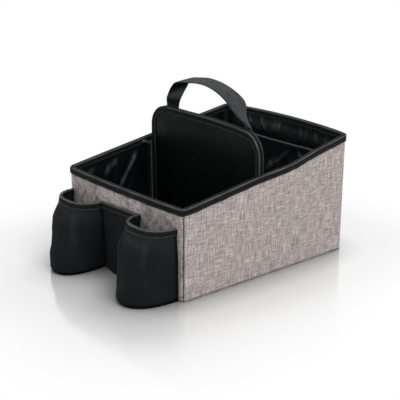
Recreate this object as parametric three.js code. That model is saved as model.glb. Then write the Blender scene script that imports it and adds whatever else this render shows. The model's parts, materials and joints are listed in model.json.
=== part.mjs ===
// Fabric storage caddy: an open box with a sloping rim, a raised padded divider that
// carries a webbing handle, two cup pockets on the front and a flat pocket at the back.
// Millimetres, +Z up, front at -Y, right side at +X.

import * as THREE from 'three';

// The box, measured over its outer fabric at the floor
const BOX_WIDTH = 250;
const BOX_DEPTH = 296;
const FRONT_HEIGHT = 124;
const BACK_HEIGHT = 170.5;
const CORNER_RADIUS = 7;

// Tape over the seams in the inner corners, past the round part of each corner
const CORNER_TAPE_REACH = 4;

// How far the middle of each wall leans out at the rim, and how far its rim dips
const FRONT_BOW = 3;
const BACK_BOW = 3;
const LEFT_BOW = 2;
const RIGHT_BOW = 3;
const RIGHT_LEAN = 1.5;
const FRONT_DIP = 0.5;
const SIDE_DIP = 0.5;
const BACK_DIP = -4;
const RIGHT_BULGE = 7;
const RIGHT_BULGE_FROM_FRONT = 180;
const RIGHT_BULGE_REACH = 42;

// Layers of a wall and of the floor, from outside to inside
const OUTER_FABRIC = 1;
const WALL_BOARD = 2;
const FLOOR_BOARD = 2.5;
const LINING = 0.6;
const TAPE = 0.8;
const FIT = 0.3;

// Folded tape on the rim
const RIM_LEG_OUTSIDE = 9;
const RIM_LEG_INSIDE = 8.5;

// Padded divider across the middle
const DIVIDER_HEIGHT = 194.5;
const DIVIDER_CORNER = 32;
const DIVIDER_FORWARD_BEND = 16;
const DIVIDER_CORE = 2;
const DIVIDER_PAD = 1.7;
const DIVIDER_CROWN = 1.4;
const DIVIDER_CROWN_RUN = 28;
const DIVIDER_LEG = 9;
const FLANGE_WIDTH = 23;
const FLANGE_BELOW_RIM = 9.2;

// Webbing handle
const WEBBING_WIDTH = 29;
const WEBBING = 1.4;
const HANDLE_SPAN = 160;
const HANDLE_SHIFT_LEFT = 2;
const HANDLE_RISE = 50.9;
const HANDLE_LEFT_SQUARENESS = 1.98;
const HANDLE_RIGHT_SQUARENESS = 2.34;
const HANDLE_LEAN_LEFT = 6.5;
const HANDLE_LEAN_FORWARD = 3;
const TAIL_LENGTH = 46;
const FOLD_CLEARANCE = 2.8;
const FOLD_SLANT = 4.2;
const LEFT_TWIST_LENGTH = 60;
const RIGHT_TWIST_LENGTH = 20;

// Cup pockets on the front
const POCKETS = {
  left: { centre: -0.316 * BOX_WIDTH, top: 94, footDepth: 72, lean: 16 },
  right: { centre: 0.308 * BOX_WIDTH, top: 98, footDepth: 65, lean: 5 },
};
const POCKET_BODY_DEPTH = 57;
const POCKET_FOOT_FLARE_HEIGHT = 52;
const POCKET_SHOULDER = 34;
const POCKET_HALF_WIDTH = 39;
const POCKET_MOUTH_DEPTH = 34;
const POCKET_MOUTH_NARROWING = 2;
const POCKET_SIDE_SWELL = 3;
const POCKET_FOOT_SQUARENESS = 2.15;
const POCKET_MOUTH_SQUARENESS = 2.6;
const POCKET_FABRIC = 1.6;
const POCKET_FOOT_RADIUS = 6;
const POCKET_CLEAR_OF_GROUND = 0.4;
const POCKET_BAND = 9;
const CENTRE_PANEL_SLACK = 6;

// Flat pocket inside the back wall
const REAR_POCKET_TOP = 138;
const REAR_POCKET_MOUTH = 8;
const REAR_POCKET_FABRIC = 0.8;
const REAR_POCKET_BAND = 4;

// Sums of the layers
const BOARD_INSET = OUTER_FABRIC + FIT;
const LINING_INSET = BOARD_INSET + WALL_BOARD + FIT;
const WALL = LINING_INSET + LINING;
const FLOOR_BOARD_BOTTOM = OUTER_FABRIC + FIT;
const FLOOR_LINING_BOTTOM = FLOOR_BOARD_BOTTOM + FLOOR_BOARD + FIT;
const FLOOR_TOP = FLOOR_LINING_BOTTOM + LINING;
const DIVIDER_FACE = DIVIDER_CORE / 2 + FIT + DIVIDER_PAD;
const DIVIDER_EDGE_INSET = WALL + FIT + TAPE + FIT;
const TAIL_OFFSET = DIVIDER_FACE + Math.max(DIVIDER_CROWN, FIT + TAPE) + FIT;
const STRAP_OFFSET = TAIL_OFFSET + WEBBING / 2;

// Steps of the meshes
const WALL_STEPS = 12;
const WALL_ROWS = 4;
const CORNER_STEPS = 3;
const POCKET_STEPS = 20;
const HANDLE_STEPS = 40;

// Finishes
const FABRIC_GREY = { color: 0xa39c96, roughness: 0.95 };
const TAPE_CHARCOAL = { color: 0x343634, roughness: 0.85 };
const LINING_BLACK = { color: 0x131416, roughness: 0.35 };
const BOARD_GREY = { color: 0x8c8479, roughness: 0.9 };
const POCKET_BLACK = { color: 0x202226, roughness: 0.8 };
const PAD_BLACK = { color: 0x191b1d, roughness: 0.6 };
const WEBBING_GREY = { color: 0x4b4c4c, roughness: 0.8 };

const smooth = THREE.MathUtils.smoothstep;
const clamp = THREE.MathUtils.clamp;
const lerp = THREE.MathUtils.lerp;

// The four walls in order round the box: where each starts, which way it runs, and its bow
const HALF_WIDTH = BOX_WIDTH / 2;
const SIDES = {
  front: { start: [-HALF_WIDTH, 0], along: [1, 0], length: BOX_WIDTH, bow: FRONT_BOW, dip: FRONT_DIP },
  right: { start: [HALF_WIDTH, 0], along: [0, 1], length: BOX_DEPTH, bow: RIGHT_BOW, dip: SIDE_DIP },
  back: { start: [HALF_WIDTH, BOX_DEPTH], along: [-1, 0], length: BOX_WIDTH, bow: BACK_BOW, dip: BACK_DIP },
  left: { start: [-HALF_WIDTH, BOX_DEPTH], along: [0, -1], length: BOX_DEPTH, bow: LEFT_BOW, dip: SIDE_DIP },
};
const SIDE_NAMES = Object.keys(SIDES);

// Soft arch from 0 at both corners of a wall to 1 in its middle
function arch(share) {
  return Math.sin(Math.PI * clamp(share, 0, 1)) ** 0.7;
}

// Bow of a wall at a share of its length, with the bulge that the right wall has by the divider
function bowCurve(name, share) {
  const { length, bow } = SIDES[name];
  const distance = lerp(CORNER_RADIUS, length - CORNER_RADIUS, share);
  const away = (distance - RIGHT_BULGE_FROM_FRONT) / RIGHT_BULGE_REACH;
  const bulge = name === 'right' ? RIGHT_BULGE * Math.exp(-away * away) : 0;
  return (bow + bulge) * arch(share);
}

// A point of the wall's plan: its place on the outline, its outward direction, bow and rim dip.
// Bow and dip run straight between the wall's steps, so every layer lies on the same facets.
function station(name, distance) {
  const side = SIDES[name];
  const [alongX, alongY] = side.along;
  const [outX, outY] = [alongY, -alongX];
  const share = clamp((distance - CORNER_RADIUS) / (side.length - 2 * CORNER_RADIUS), 0, 1);
  const step = Math.min(WALL_STEPS - 1, Math.floor(share * WALL_STEPS + 1e-6));
  const part = share * WALL_STEPS - step;
  const facet = (curve) => lerp(curve(step / WALL_STEPS), curve((step + 1) / WALL_STEPS), part);
  return {
    x: side.start[0] + alongX * distance,
    y: side.start[1] + alongY * distance,
    out: [outX, outY],
    bow: facet((place) => bowCurve(name, place)),
    dip: facet((place) => side.dip * arch(place)),
  };
}

// Half of a round corner, from the seam to the wall's straight part (end -1) or back (end 1)
function cornerStations(name, end) {
  const side = SIDES[name];
  const [alongX, alongY] = side.along;
  const [outX, outY] = [alongY, -alongX];
  const centreDistance = end < 0 ? CORNER_RADIUS : side.length - CORNER_RADIUS;
  const centreX = side.start[0] + alongX * centreDistance - outX * CORNER_RADIUS;
  const centreY = side.start[1] + alongY * centreDistance - outY * CORNER_RADIUS;
  const half = [];
  for (let i = CORNER_STEPS; i > 0; i -= 1) {
    const angle = (Math.PI / 4) * (i / CORNER_STEPS);
    const x = outX * Math.cos(angle) + end * alongX * Math.sin(angle);
    const y = outY * Math.cos(angle) + end * alongY * Math.sin(angle);
    const shift = i === CORNER_STEPS ? (-end * FIT) / 2 : 0;
    const tangentX = -y;
    const tangentY = x;
    half.push({
      x: centreX + x * CORNER_RADIUS + tangentX * shift,
      y: centreY + y * CORNER_RADIUS + tangentY * shift,
      out: [x, y],
      bow: 0,
      dip: 0,
    });
  }
  return end < 0 ? half : half.reverse();
}

// Stations of a wall's straight part, between its round corners
function straightStations(name) {
  const last = SIDES[name].length - CORNER_RADIUS;
  return Array.from({ length: WALL_STEPS + 1 }, (_, i) => (
    station(name, lerp(CORNER_RADIUS, last, i / WALL_STEPS))
  ));
}

// Stations of a whole wall, from corner seam to corner seam
function wallStations(name) {
  return [
    ...cornerStations(name, -1),
    ...straightStations(name),
    ...cornerStations(name, 1),
  ];
}

// Rim height over a station
function rimHeight(place) {
  const slope = (BACK_HEIGHT - FRONT_HEIGHT) / BOX_DEPTH;
  return FRONT_HEIGHT + slope * place.y - place.dip;
}

// Top of the layers inside the folded rim tape
function layerTop(place) {
  return rimHeight(place) - TAPE - FIT;
}

// A point of a wall at a height, measured inward from the outer face of the fabric
function wallPoint(place, z, inset) {
  const rise = clamp((z - FLOOR_TOP) / (rimHeight(place) - FLOOR_TOP), 0, 1);
  const out = place.bow * rise ** 1.3 - inset;
  const x = place.x + place.out[0] * out;
  const lean = (RIGHT_LEAN * rise * (x + HALF_WIDTH)) / BOX_WIDTH;
  return new THREE.Vector3(x + lean, place.y + place.out[1] * out, z);
}

// Turns a list of points and triangles into a geometry whose faces point out
function closedGeometry(points, triangles) {
  let volume = 0;
  for (const [a, b, c] of triangles) {
    volume += points[a].dot(points[b].clone().cross(points[c]));
  }
  const index = triangles.flatMap(([a, b, c]) => (volume < 0 ? [a, c, b] : [a, b, c]));
  const geometry = new THREE.BufferGeometry();
  geometry.setAttribute('position', new THREE.Float32BufferAttribute(points.flatMap((p) => p.toArray()), 3));
  geometry.setIndex(index);
  geometry.computeVertexNormals();
  return geometry;
}

// Closed solid between two faces given as equal grids of points, such as a sheet's two sides
function sheetSolid(faceA, faceB) {
  const rows = faceA.length;
  const columns = faceA[0].length;
  const points = [...faceA.flat(), ...faceB.flat()];
  const at = (face, row, column) => face * rows * columns + row * columns + column;
  const triangles = [];
  const quad = (a, b, c, d) => triangles.push([a, b, c], [a, c, d]);
  for (let row = 0; row < rows - 1; row += 1) {
    for (let column = 0; column < columns - 1; column += 1) {
      quad(at(0, row, column), at(0, row, column + 1), at(0, row + 1, column + 1), at(0, row + 1, column));
      quad(at(1, row, column), at(1, row + 1, column), at(1, row + 1, column + 1), at(1, row, column + 1));
    }
  }
  for (let row = 0; row < rows - 1; row += 1) {
    quad(at(0, row, 0), at(0, row + 1, 0), at(1, row + 1, 0), at(1, row, 0));
    quad(at(0, row, columns - 1), at(1, row, columns - 1), at(1, row + 1, columns - 1), at(0, row + 1, columns - 1));
  }
  for (let column = 0; column < columns - 1; column += 1) {
    quad(at(0, 0, column), at(1, 0, column), at(1, 0, column + 1), at(0, 0, column + 1));
    quad(at(0, rows - 1, column), at(0, rows - 1, column + 1), at(1, rows - 1, column + 1), at(1, rows - 1, column));
  }
  return closedGeometry(points, triangles);
}

// Solid swept through rings of points that all follow one profile, closed in a loop or capped
function sweptSolid(rings, profile, isLoop) {
  const size = profile.length;
  const points = rings.flat();
  const triangles = [];
  const last = isLoop ? rings.length : rings.length - 1;
  for (let ring = 0; ring < last; ring += 1) {
    const next = (ring + 1) % rings.length;
    for (let i = 0; i < size; i += 1) {
      const j = (i + 1) % size;
      const [a, b, c, d] = [ring * size + i, ring * size + j, next * size + j, next * size + i];
      triangles.push([a, b, c], [a, c, d]);
    }
  }
  if (!isLoop) {
    const end = (rings.length - 1) * size;
    const isClockwise = THREE.ShapeUtils.isClockWise(profile);
    for (const cap of THREE.ShapeUtils.triangulateShape(profile, [])) {
      const [a, b, c] = isClockwise ? cap.reverse() : cap;
      triangles.push([c, b, a], [end + a, end + b, end + c]);
    }
  }
  return closedGeometry(points, triangles);
}

// Profile of a tape folded over an edge: x across the edge from the first leg's inner face,
// y up from the tape's top
function foldedTape(clearWidth, firstLeg, secondLeg) {
  const radius = Math.min(2, clearWidth / 2);
  const profile = [[-TAPE, -firstLeg]];
  for (const turn of [0, 1, 2]) {
    const angle = (turn * Math.PI) / 4;
    profile.push([-TAPE + radius * (1 - Math.cos(angle)), -radius * (1 - Math.sin(angle))]);
  }
  for (const turn of [2, 1, 0]) {
    const angle = (turn * Math.PI) / 4;
    profile.push([clearWidth + TAPE - radius * (1 - Math.cos(angle)), -radius * (1 - Math.sin(angle))]);
  }
  profile.push([clearWidth + TAPE, -secondLeg], [clearWidth, -secondLeg]);
  profile.push([clearWidth, -TAPE], [0, -TAPE], [0, -firstLeg]);
  return profile.map(([x, y]) => new THREE.Vector2(x, y));
}

// Rows of heights over a station: from the floor's top to a top in even steps
function heightsOver(place, top) {
  return Array.from({ length: WALL_ROWS + 1 }, (_, row) => lerp(FLOOR_TOP, top(place), row / WALL_ROWS));
}

// One layer of a wall, standing lower than the floor's top and ending inside the rim tape
function wallLayer(places, bottom, inset, thickness) {
  const columns = places.map((place) => [bottom, ...heightsOver(place, layerTop)]);
  const face = (depth) => columns[0].map((_, row) => (
    places.map((place, i) => wallPoint(place, columns[i][row], depth))
  ));
  return sheetSolid(face(inset), face(inset + thickness));
}

// Strip of tape lying on the inside of the walls, from the floor up to a top
function liningStrip(places, top) {
  const columns = places.map((place) => {
    const [, ...upper] = heightsOver(place, top);
    return [FLOOR_TOP + FIT, ...upper];
  });
  const face = (depth) => columns[0].map((_, row) => (
    places.map((place, i) => wallPoint(place, columns[i][row], depth))
  ));
  return sheetSolid(face(WALL + FIT), face(WALL + FIT + TAPE));
}

// Rounded rectangle of the floor, drawn in from the outer fabric
function floorSheet(inset, bottom, thickness) {
  const radius = CORNER_RADIUS - inset;
  const [x, y] = [HALF_WIDTH - CORNER_RADIUS, BOX_DEPTH - CORNER_RADIUS];
  const outline = new THREE.Shape();
  outline.absarc(x, y, radius, 0, Math.PI / 2);
  outline.absarc(-x, y, radius, Math.PI / 2, Math.PI);
  outline.absarc(-x, CORNER_RADIUS, radius, Math.PI, 1.5 * Math.PI);
  outline.absarc(x, CORNER_RADIUS, radius, 1.5 * Math.PI, 2 * Math.PI);
  const sheet = new THREE.ExtrudeGeometry(outline, {
    depth: thickness,
    bevelEnabled: false,
    curveSegments: 2 * CORNER_STEPS,
  });
  return sheet.translate(0, 0, bottom);
}

// Tape folded over the top of all four walls, one loop round the rim
function rimBinding() {
  const profile = foldedTape(WALL + 2 * FIT, RIM_LEG_OUTSIDE, RIM_LEG_INSIDE);
  const places = SIDE_NAMES.flatMap((name) => wallStations(name).slice(0, -1));
  const rings = places.map((place) => (
    profile.map((p) => wallPoint(place, rimHeight(place) + p.y, p.x - FIT))
  ));
  return sweptSolid(rings, profile, true);
}

// Tape over the lining's seam in one inner corner, after the wall that is named
function cornerBinding(name) {
  const next = SIDE_NAMES[(SIDE_NAMES.indexOf(name) + 1) % SIDE_NAMES.length];
  const places = [
    station(name, SIDES[name].length - CORNER_RADIUS - CORNER_TAPE_REACH),
    station(name, SIDES[name].length - CORNER_RADIUS),
    ...cornerStations(name, 1).slice(0, -1),
    ...cornerStations(next, -1),
    station(next, CORNER_RADIUS),
    station(next, CORNER_RADIUS + CORNER_TAPE_REACH),
  ];
  const top = (place) => rimHeight(place) - RIM_LEG_INSIDE - FIT;
  return liningStrip(places, top);
}

// Centre line of the divider in plan: straight on the left, curving forward to its right end
function dividerCentre(x) {
  const share = clamp(x / HALF_WIDTH, 0, 1);
  const softness = 0.35;
  const rise = Math.hypot(share, softness) - softness;
  return BOX_DEPTH / 2 - (DIVIDER_FORWARD_BEND * rise) / (Math.hypot(1, softness) - softness);
}

// Where the divider's end meets the side wall, as a station of that wall
const DIVIDER_ENDS = {
  left: station('left', BOX_DEPTH - dividerCentre(-HALF_WIDTH)),
  right: station('right', dividerCentre(HALF_WIDTH)),
};
const DIVIDER_HALF = HALF_WIDTH - DIVIDER_EDGE_INSET;

// A point of the divider: across from -1 to 1 between the side walls, and off its centre line
function dividerPoint(across, z, offset) {
  const left = wallPoint(DIVIDER_ENDS.left, z, DIVIDER_EDGE_INSET).x;
  const right = wallPoint(DIVIDER_ENDS.right, z, DIVIDER_EDGE_INSET).x;
  const x = lerp(left, right, (across + 1) / 2);
  return new THREE.Vector3(x, dividerCentre(x) + offset, z);
}

// Height of the divider's rounded outline, drawn in by an inset, over a place from its middle
function dividerTop(fromMiddle, inset) {
  const intoCorner = Math.max(0, Math.abs(fromMiddle) - (DIVIDER_HALF - DIVIDER_CORNER));
  const radius = DIVIDER_CORNER - inset;
  return DIVIDER_HEIGHT - DIVIDER_CORNER + Math.sqrt(Math.max(0, radius * radius - intoCorner * intoCorner));
}

// Places across the divider, close together in its round corners
function dividerColumns(inset) {
  const straight = DIVIDER_HALF - DIVIDER_CORNER;
  const radius = DIVIDER_CORNER - inset;
  const corner = [90, 72, 54, 36, 18].map((angle) => straight + radius * Math.sin((angle * Math.PI) / 180));
  const middle = [-3, -2, -1, 0, 1, 2, 3].map((i) => (straight * i) / 3);
  return [...corner.map((place) => -place), ...middle, ...corner.reverse()];
}

// How much a pad of the divider swells at a place, none under the edge tape
function dividerCrown(fromMiddle, z, inset) {
  const fromEnd = DIVIDER_HALF - Math.abs(fromMiddle);
  const fromTop = dividerTop(fromMiddle, inset) - z;
  const fromFloor = z - FLOOR_TOP;
  const inside = Math.min(fromEnd, fromTop + inset, fromFloor);
  return DIVIDER_CROWN * smooth(inside, DIVIDER_LEG, DIVIDER_LEG + DIVIDER_CROWN_RUN);
}

// One layer of the divider: a sheet whose far face may swell, on the front (-1) or back (1)
function dividerLayer(from, thickness, facing, isPad) {
  const inset = TAPE + FIT;
  const bottom = FLOOR_TOP + FIT;
  const rows = [0, 0.06, 0.14, 0.26, 0.45, 0.65, 0.8, 0.91, 1];
  const face = (depth, swells) => rows.map((row) => (
    dividerColumns(inset).map((place) => {
      const z = lerp(bottom, dividerTop(place, inset), row);
      const swell = swells ? dividerCrown(place, z, inset) : 0;
      return dividerPoint(place / DIVIDER_HALF, z, facing * (depth + swell));
    })
  ));
  return sheetSolid(face(from, false), face(from + thickness, isPad));
}

// Tape folded over the divider's two upright edges and its top
function dividerBinding() {
  const profile = foldedTape(2 * (DIVIDER_FACE + FIT), DIVIDER_LEG, DIVIDER_LEG);
  const straight = DIVIDER_HALF - DIVIDER_CORNER;
  const shoulder = DIVIDER_HEIGHT - DIVIDER_CORNER;
  const bottom = FLOOR_TOP + FIT;
  const left = [0, 0.25, 0.5, 0.7, 0.85].map((share) => [-DIVIDER_HALF, lerp(bottom, shoulder, share), -1, 0]);
  const corner = [0, 18, 36, 54, 72, 90].map((degrees) => {
    const angle = (degrees * Math.PI) / 180;
    const [x, z] = [-Math.cos(angle), Math.sin(angle)];
    return [-straight + DIVIDER_CORNER * x, shoulder + DIVIDER_CORNER * z, x, z];
  });
  const top = [-2, -1, 0].map((i) => [(straight * i) / 3, DIVIDER_HEIGHT, 0, 1]);
  const leftHalf = [...left, ...corner, ...top];
  const rightHalf = leftHalf.slice(0, -1).reverse().map(([x, z, outX, outZ]) => [-x, z, -outX, outZ]);
  const rings = [...leftHalf, ...rightHalf].map(([x, z, outX, outZ]) => (
    profile.map((p) => {
      const offset = p.x - DIVIDER_FACE - FIT;
      return dividerPoint((x + outX * p.y) / DIVIDER_HALF, z + outZ * p.y, offset);
    })
  ));
  return sweptSolid(rings, profile, false);
}

// Strip sewn to a side wall's lining, which holds one end of the divider
function dividerFlange(name) {
  const centre = name === 'left' ? BOX_DEPTH - dividerCentre(-HALF_WIDTH) : dividerCentre(HALF_WIDTH);
  const places = [-1, -0.5, 0, 0.5, 1].map((side) => station(name, centre + (side * FLANGE_WIDTH) / 2));
  return liningStrip(places, (place) => rimHeight(place) - FLANGE_BELOW_RIM);
}

// Where a leg of the handle is sewn to the divider's back: side -1 is the left leg
function handleFoot(side) {
  const x = (side * HANDLE_SPAN) / 2 - HANDLE_SHIFT_LEFT;
  return new THREE.Vector3(x, dividerCentre(x) + STRAP_OFFSET, DIVIDER_HEIGHT);
}

// How far the webbing on the divider lies behind the line about which the handle folds
function behindFoldLine(x) {
  const [left, right] = [handleFoot(-1), handleFoot(1)];
  const lineY = lerp(left.y, right.y, (x - left.x) / (right.x - left.x));
  return Math.max(0, dividerCentre(x) + STRAP_OFFSET - lineY);
}

// End of the webbing, sewn flat on the divider's back and ending where the handle folds over
function handleTail(side) {
  const foot = handleFoot(side);
  const across = [-0.5, -0.25, 0, 0.25, 0.5].map((share) => foot.x + share * WEBBING_WIDTH);
  const bottom = () => DIVIDER_HEIGHT - TAIL_LENGTH;
  const top = (x) => DIVIDER_HEIGHT - FOLD_CLEARANCE - FOLD_SLANT * behindFoldLine(x);
  const face = (offset) => [bottom, top].map((edge) => (
    across.map((x) => new THREE.Vector3(x, dividerCentre(x) + offset, edge(x)))
  ));
  return sheetSolid(face(TAIL_OFFSET), face(TAIL_OFFSET + WEBBING));
}

// The handle's centre line: an arch from the left foot to the squarer right one
class HandleLine extends THREE.Curve {
  getPoint(t, target = new THREE.Vector3()) {
    const angle = Math.PI * (1 - t);
    const power = 2 / (t < 0.5 ? HANDLE_LEFT_SQUARENESS : HANDLE_RIGHT_SQUARENESS);
    const across = Math.sign(Math.cos(angle)) * Math.abs(Math.cos(angle)) ** power;
    const up = Math.abs(Math.sin(angle)) ** power;
    target.lerpVectors(handleFoot(-1), handleFoot(1), (across + 1) / 2);
    target.x -= HANDLE_LEAN_LEFT * up;
    target.y -= HANDLE_LEAN_FORWARD * up;
    target.z += FIT + (HANDLE_RISE - FIT) * up;
    return target;
  }
}

// Webbing arch: flat against the divider at both feet, turning a quarter to lie flat on top
function handleStrap() {
  const line = new HandleLine();
  const length = line.getLength();
  const axis = handleFoot(1).sub(handleFoot(-1)).normalize();
  const upright = new THREE.Vector3(0, 0, 1);
  const back = upright.clone().cross(axis);
  const halfWidth = WEBBING_WIDTH / 2;
  const halfThick = WEBBING / 2;
  const profile = [[-1, -1], [1, -1], [1, 1], [-1, 1]];
  const rings = [];
  for (let i = 0; i <= HANDLE_STEPS; i += 1) {
    const share = i / HANDLE_STEPS;
    const centre = line.getPointAt(share);
    const isEnd = i === 0 || i === HANDLE_STEPS;
    const along = isEnd ? upright.clone().multiplyScalar(i === 0 ? 1 : -1) : line.getTangentAt(share);
    const leftTurn = 1 - smooth(share * length, 0, LEFT_TWIST_LENGTH);
    const rightTurn = 1 - smooth((1 - share) * length, 0, RIGHT_TWIST_LENGTH);
    const turn = (-Math.PI / 2) * (leftTurn + rightTurn);
    const width = back.clone().applyAxisAngle(along, turn);
    const thick = along.clone().cross(width);
    rings.push(profile.map(([w, t]) => (
      centre.clone().addScaledVector(width, w * halfWidth).addScaledVector(thick, t * halfThick)
    )));
  }
  return sweptSolid(rings, profile.map(([w, t]) => new THREE.Vector2(w, t)), false);
}

// Outer face of the front wall behind a pocket
function frontFace(x, z) {
  return wallPoint(station('front', x + HALF_WIDTH), z, 0).y;
}

// How far the foot of a pocket is rounded in at a height
function pocketFootPull(z) {
  const below = clamp((POCKET_CLEAR_OF_GROUND + POCKET_FOOT_RADIUS - z) / POCKET_FOOT_RADIUS, 0, 1);
  return POCKET_FOOT_RADIUS * (1 - Math.sqrt(1 - below * below));
}

// Depth of a cup pocket at a height: shallow at the banded mouth, full below it
function pocketDepth(pocket, z) {
  const body = lerp(pocket.footDepth, POCKET_BODY_DEPTH, smooth(z, 0, POCKET_FOOT_FLARE_HEIGHT));
  const mouth = smooth(z, pocket.top - POCKET_SHOULDER, pocket.top) ** 1.3;
  return lerp(body, POCKET_MOUTH_DEPTH, mouth);
}

// Heights at which the outline of a cup pocket is set out, from its foot to its mouth
function pocketLevels(pocket) {
  const band = pocket.top - POCKET_BAND;
  return [
    ...[0, 0.1, 0.25, 0.5, 0.75, 1].map((share) => POCKET_CLEAR_OF_GROUND + POCKET_FOOT_RADIUS * share),
    ...[0.25, 0.5, 0.68, 0.84].map((share) => share * band),
    band,
    pocket.top,
  ];
}

// Outline of a pocket in plan at one of those heights, from its left seam to its right seam
function pocketLevel(pocket, z) {
  const atMouth = smooth(z, pocket.top - POCKET_SHOULDER, pocket.top);
  const half = POCKET_HALF_WIDTH - POCKET_MOUTH_NARROWING * atMouth;
  const swell = POCKET_SIDE_SWELL * (1 - atMouth) - pocketFootPull(z);
  const lean = pocket.lean * (1 - smooth(z, 0, pocket.top));
  const depth = pocketDepth(pocket, z) - pocketFootPull(z);
  const power = 2 / lerp(POCKET_FOOT_SQUARENESS, POCKET_MOUTH_SQUARENESS, atMouth);
  return Array.from({ length: POCKET_STEPS + 1 }, (_, i) => {
    const angle = Math.PI * (1 - i / POCKET_STEPS);
    const isMiddle = i * 2 === POCKET_STEPS;
    const isSeam = i === 0 || i === POCKET_STEPS;
    const across = isMiddle ? 0 : Math.sign(Math.cos(angle)) * Math.abs(Math.cos(angle)) ** power;
    const out = isSeam ? 0 : Math.sin(angle) ** power;
    const aside = across * (half + swell * Math.sin(angle)) + lean * out;
    return new THREE.Vector2(aside, out * depth);
  });
}

// Outline of a pocket at any height, straight between two of its levels
function pocketOutline(pocket, z) {
  const levels = pocketLevels(pocket);
  const upper = Math.max(1, levels.findIndex((level) => level >= z));
  const share = (z - levels[upper - 1]) / (levels[upper] - levels[upper - 1]);
  const above = pocketLevel(pocket, levels[upper]);
  return pocketLevel(pocket, levels[upper - 1]).map((point, i) => point.lerp(above[i], share));
}

// The same outline drawn in by a distance, square to itself and flat at both seams
function drawnIn(outline, distance) {
  return outline.map((point, i) => {
    if (i === 0) return new THREE.Vector2(point.x + distance, 0);
    if (i === outline.length - 1) return new THREE.Vector2(point.x - distance, 0);
    const along = outline[i + 1].clone().sub(outline[i - 1]).normalize();
    return new THREE.Vector2(point.x + along.y * distance, point.y - along.x * distance);
  });
}

// A pocket's outline in the caddy at a height, set against the front wall
function pocketPlaces(pocket, z, inset) {
  return drawnIn(pocketOutline(pocket, z), inset).map((point) => {
    const x = pocket.centre + point.x;
    return new THREE.Vector3(x, frontFace(x, z) - FIT - point.y, z);
  });
}

// Stretch fabric of a cup pocket, open at the top and at the wall
function pocketWall(pocket) {
  const heights = [...pocketLevels(pocket).slice(0, -1), pocket.top - TAPE - FIT];
  const face = (inset) => heights.map((z) => pocketPlaces(pocket, z, inset));
  return sheetSolid(face(0), face(POCKET_FABRIC));
}

// Bottom piece of a cup pocket, sewn inside the foot of its wall
function pocketFloor(pocket) {
  const outline = pocketPlaces(pocket, POCKET_CLEAR_OF_GROUND, POCKET_FABRIC + FIT);
  const shape = new THREE.Shape(outline.map((place) => new THREE.Vector2(place.x, place.y)));
  const sheet = new THREE.ExtrudeGeometry(shape, { depth: POCKET_FABRIC, bevelEnabled: false });
  return sheet.translate(0, 0, POCKET_CLEAR_OF_GROUND);
}

// Tape folded over a cup pocket's mouth
function pocketBinding(pocket) {
  const profile = foldedTape(POCKET_FABRIC + 2 * FIT, POCKET_BAND, POCKET_BAND);
  const sections = profile.map((p) => pocketPlaces(pocket, pocket.top + p.y, p.x - FIT));
  const rings = sections[0].map((_, i) => sections.map((section) => section[i]));
  return sweptSolid(rings, profile, false);
}

// Places across the strip of pocket fabric between the cup pockets: share, x and top edge
function centreColumns() {
  const margin = POCKET_HALF_WIDTH + 2 * FIT + TAPE;
  const left = POCKETS.left.centre + margin;
  const right = POCKETS.right.centre - margin;
  return [0, 0.12, 0.3, 0.5, 0.7, 0.88, 1].map((share) => ({
    share,
    x: lerp(left, right, share),
    top: lerp(POCKETS.left.top, POCKETS.right.top, lerp(0.2, 0.8, share)),
  }));
}

// A point of that strip, out from the front wall: it hangs a little slack towards its foot
function centrePoint(column, z, out) {
  const slack = CENTRE_PANEL_SLACK * Math.sin(Math.PI * column.share) * (1 - smooth(z, 0, column.top - POCKET_BAND));
  return new THREE.Vector3(column.x, frontFace(column.x, z) - slack - out, z);
}

// Strip of pocket fabric sewn to the front wall between the cup pockets
function pocketCentrePanel() {
  const behind = 2 * FIT + TAPE;
  const columns = centreColumns();
  const rows = [0, 0.25, 0.5, 0.75];
  const heights = columns.map(({ top }) => [
    ...rows.map((row) => lerp(OUTER_FABRIC + FIT, top - POCKET_BAND, row)),
    top - POCKET_BAND,
    top - TAPE - FIT,
  ]);
  const face = (out) => heights[0].map((_, row) => (
    columns.map((column, i) => centrePoint(column, heights[i][row], out))
  ));
  return sheetSolid(face(behind), face(behind + POCKET_FABRIC));
}

// Tape folded over the top of that strip
function pocketCentreBinding() {
  const profile = foldedTape(POCKET_FABRIC + 2 * FIT, POCKET_BAND, POCKET_BAND);
  const rings = centreColumns().map((column) => (
    profile.map((p) => centrePoint(column, column.top + p.y, FIT + TAPE + p.x))
  ));
  return sweptSolid(rings, profile, false);
}

// Inner face of the back wall's lining
function backLiningFace(x, z) {
  return wallPoint(station('back', HALF_WIDTH - x), z, WALL).y;
}

// How far the flat rear pocket stands off the lining: slack at the middle of its mouth
function rearPocketSlack(share, z) {
  const rise = clamp((z - FLOOR_TOP) / (REAR_POCKET_TOP - FLOOR_TOP), 0, 1);
  return 2 * FIT + TAPE + REAR_POCKET_MOUTH * arch(share) * rise ** 1.5;
}

// Places across the rear pocket, between the tapes in the back corners
function rearPocketColumns() {
  const half = HALF_WIDTH - CORNER_RADIUS - CORNER_TAPE_REACH - FIT;
  const steps = 10;
  return Array.from({ length: steps + 1 }, (_, i) => [i / steps, lerp(-half, half, i / steps)]);
}

// A point of the rear pocket, measured forward from its back face
function rearPocketPoint([share, x], z, forward) {
  return new THREE.Vector3(x, backLiningFace(x, z) - rearPocketSlack(share, z) - forward, z);
}

// Lining fabric of the flat pocket across the inside of the back wall
function rearPocketPanel() {
  const top = REAR_POCKET_TOP - TAPE - FIT;
  const heights = [0, 0.3, 0.55, 0.8, 1].map((share) => lerp(FLOOR_TOP + FIT, top, share));
  const face = (forward) => heights.map((z) => (
    rearPocketColumns().map((column) => rearPocketPoint(column, z, forward))
  ));
  return sheetSolid(face(0), face(REAR_POCKET_FABRIC));
}

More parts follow.
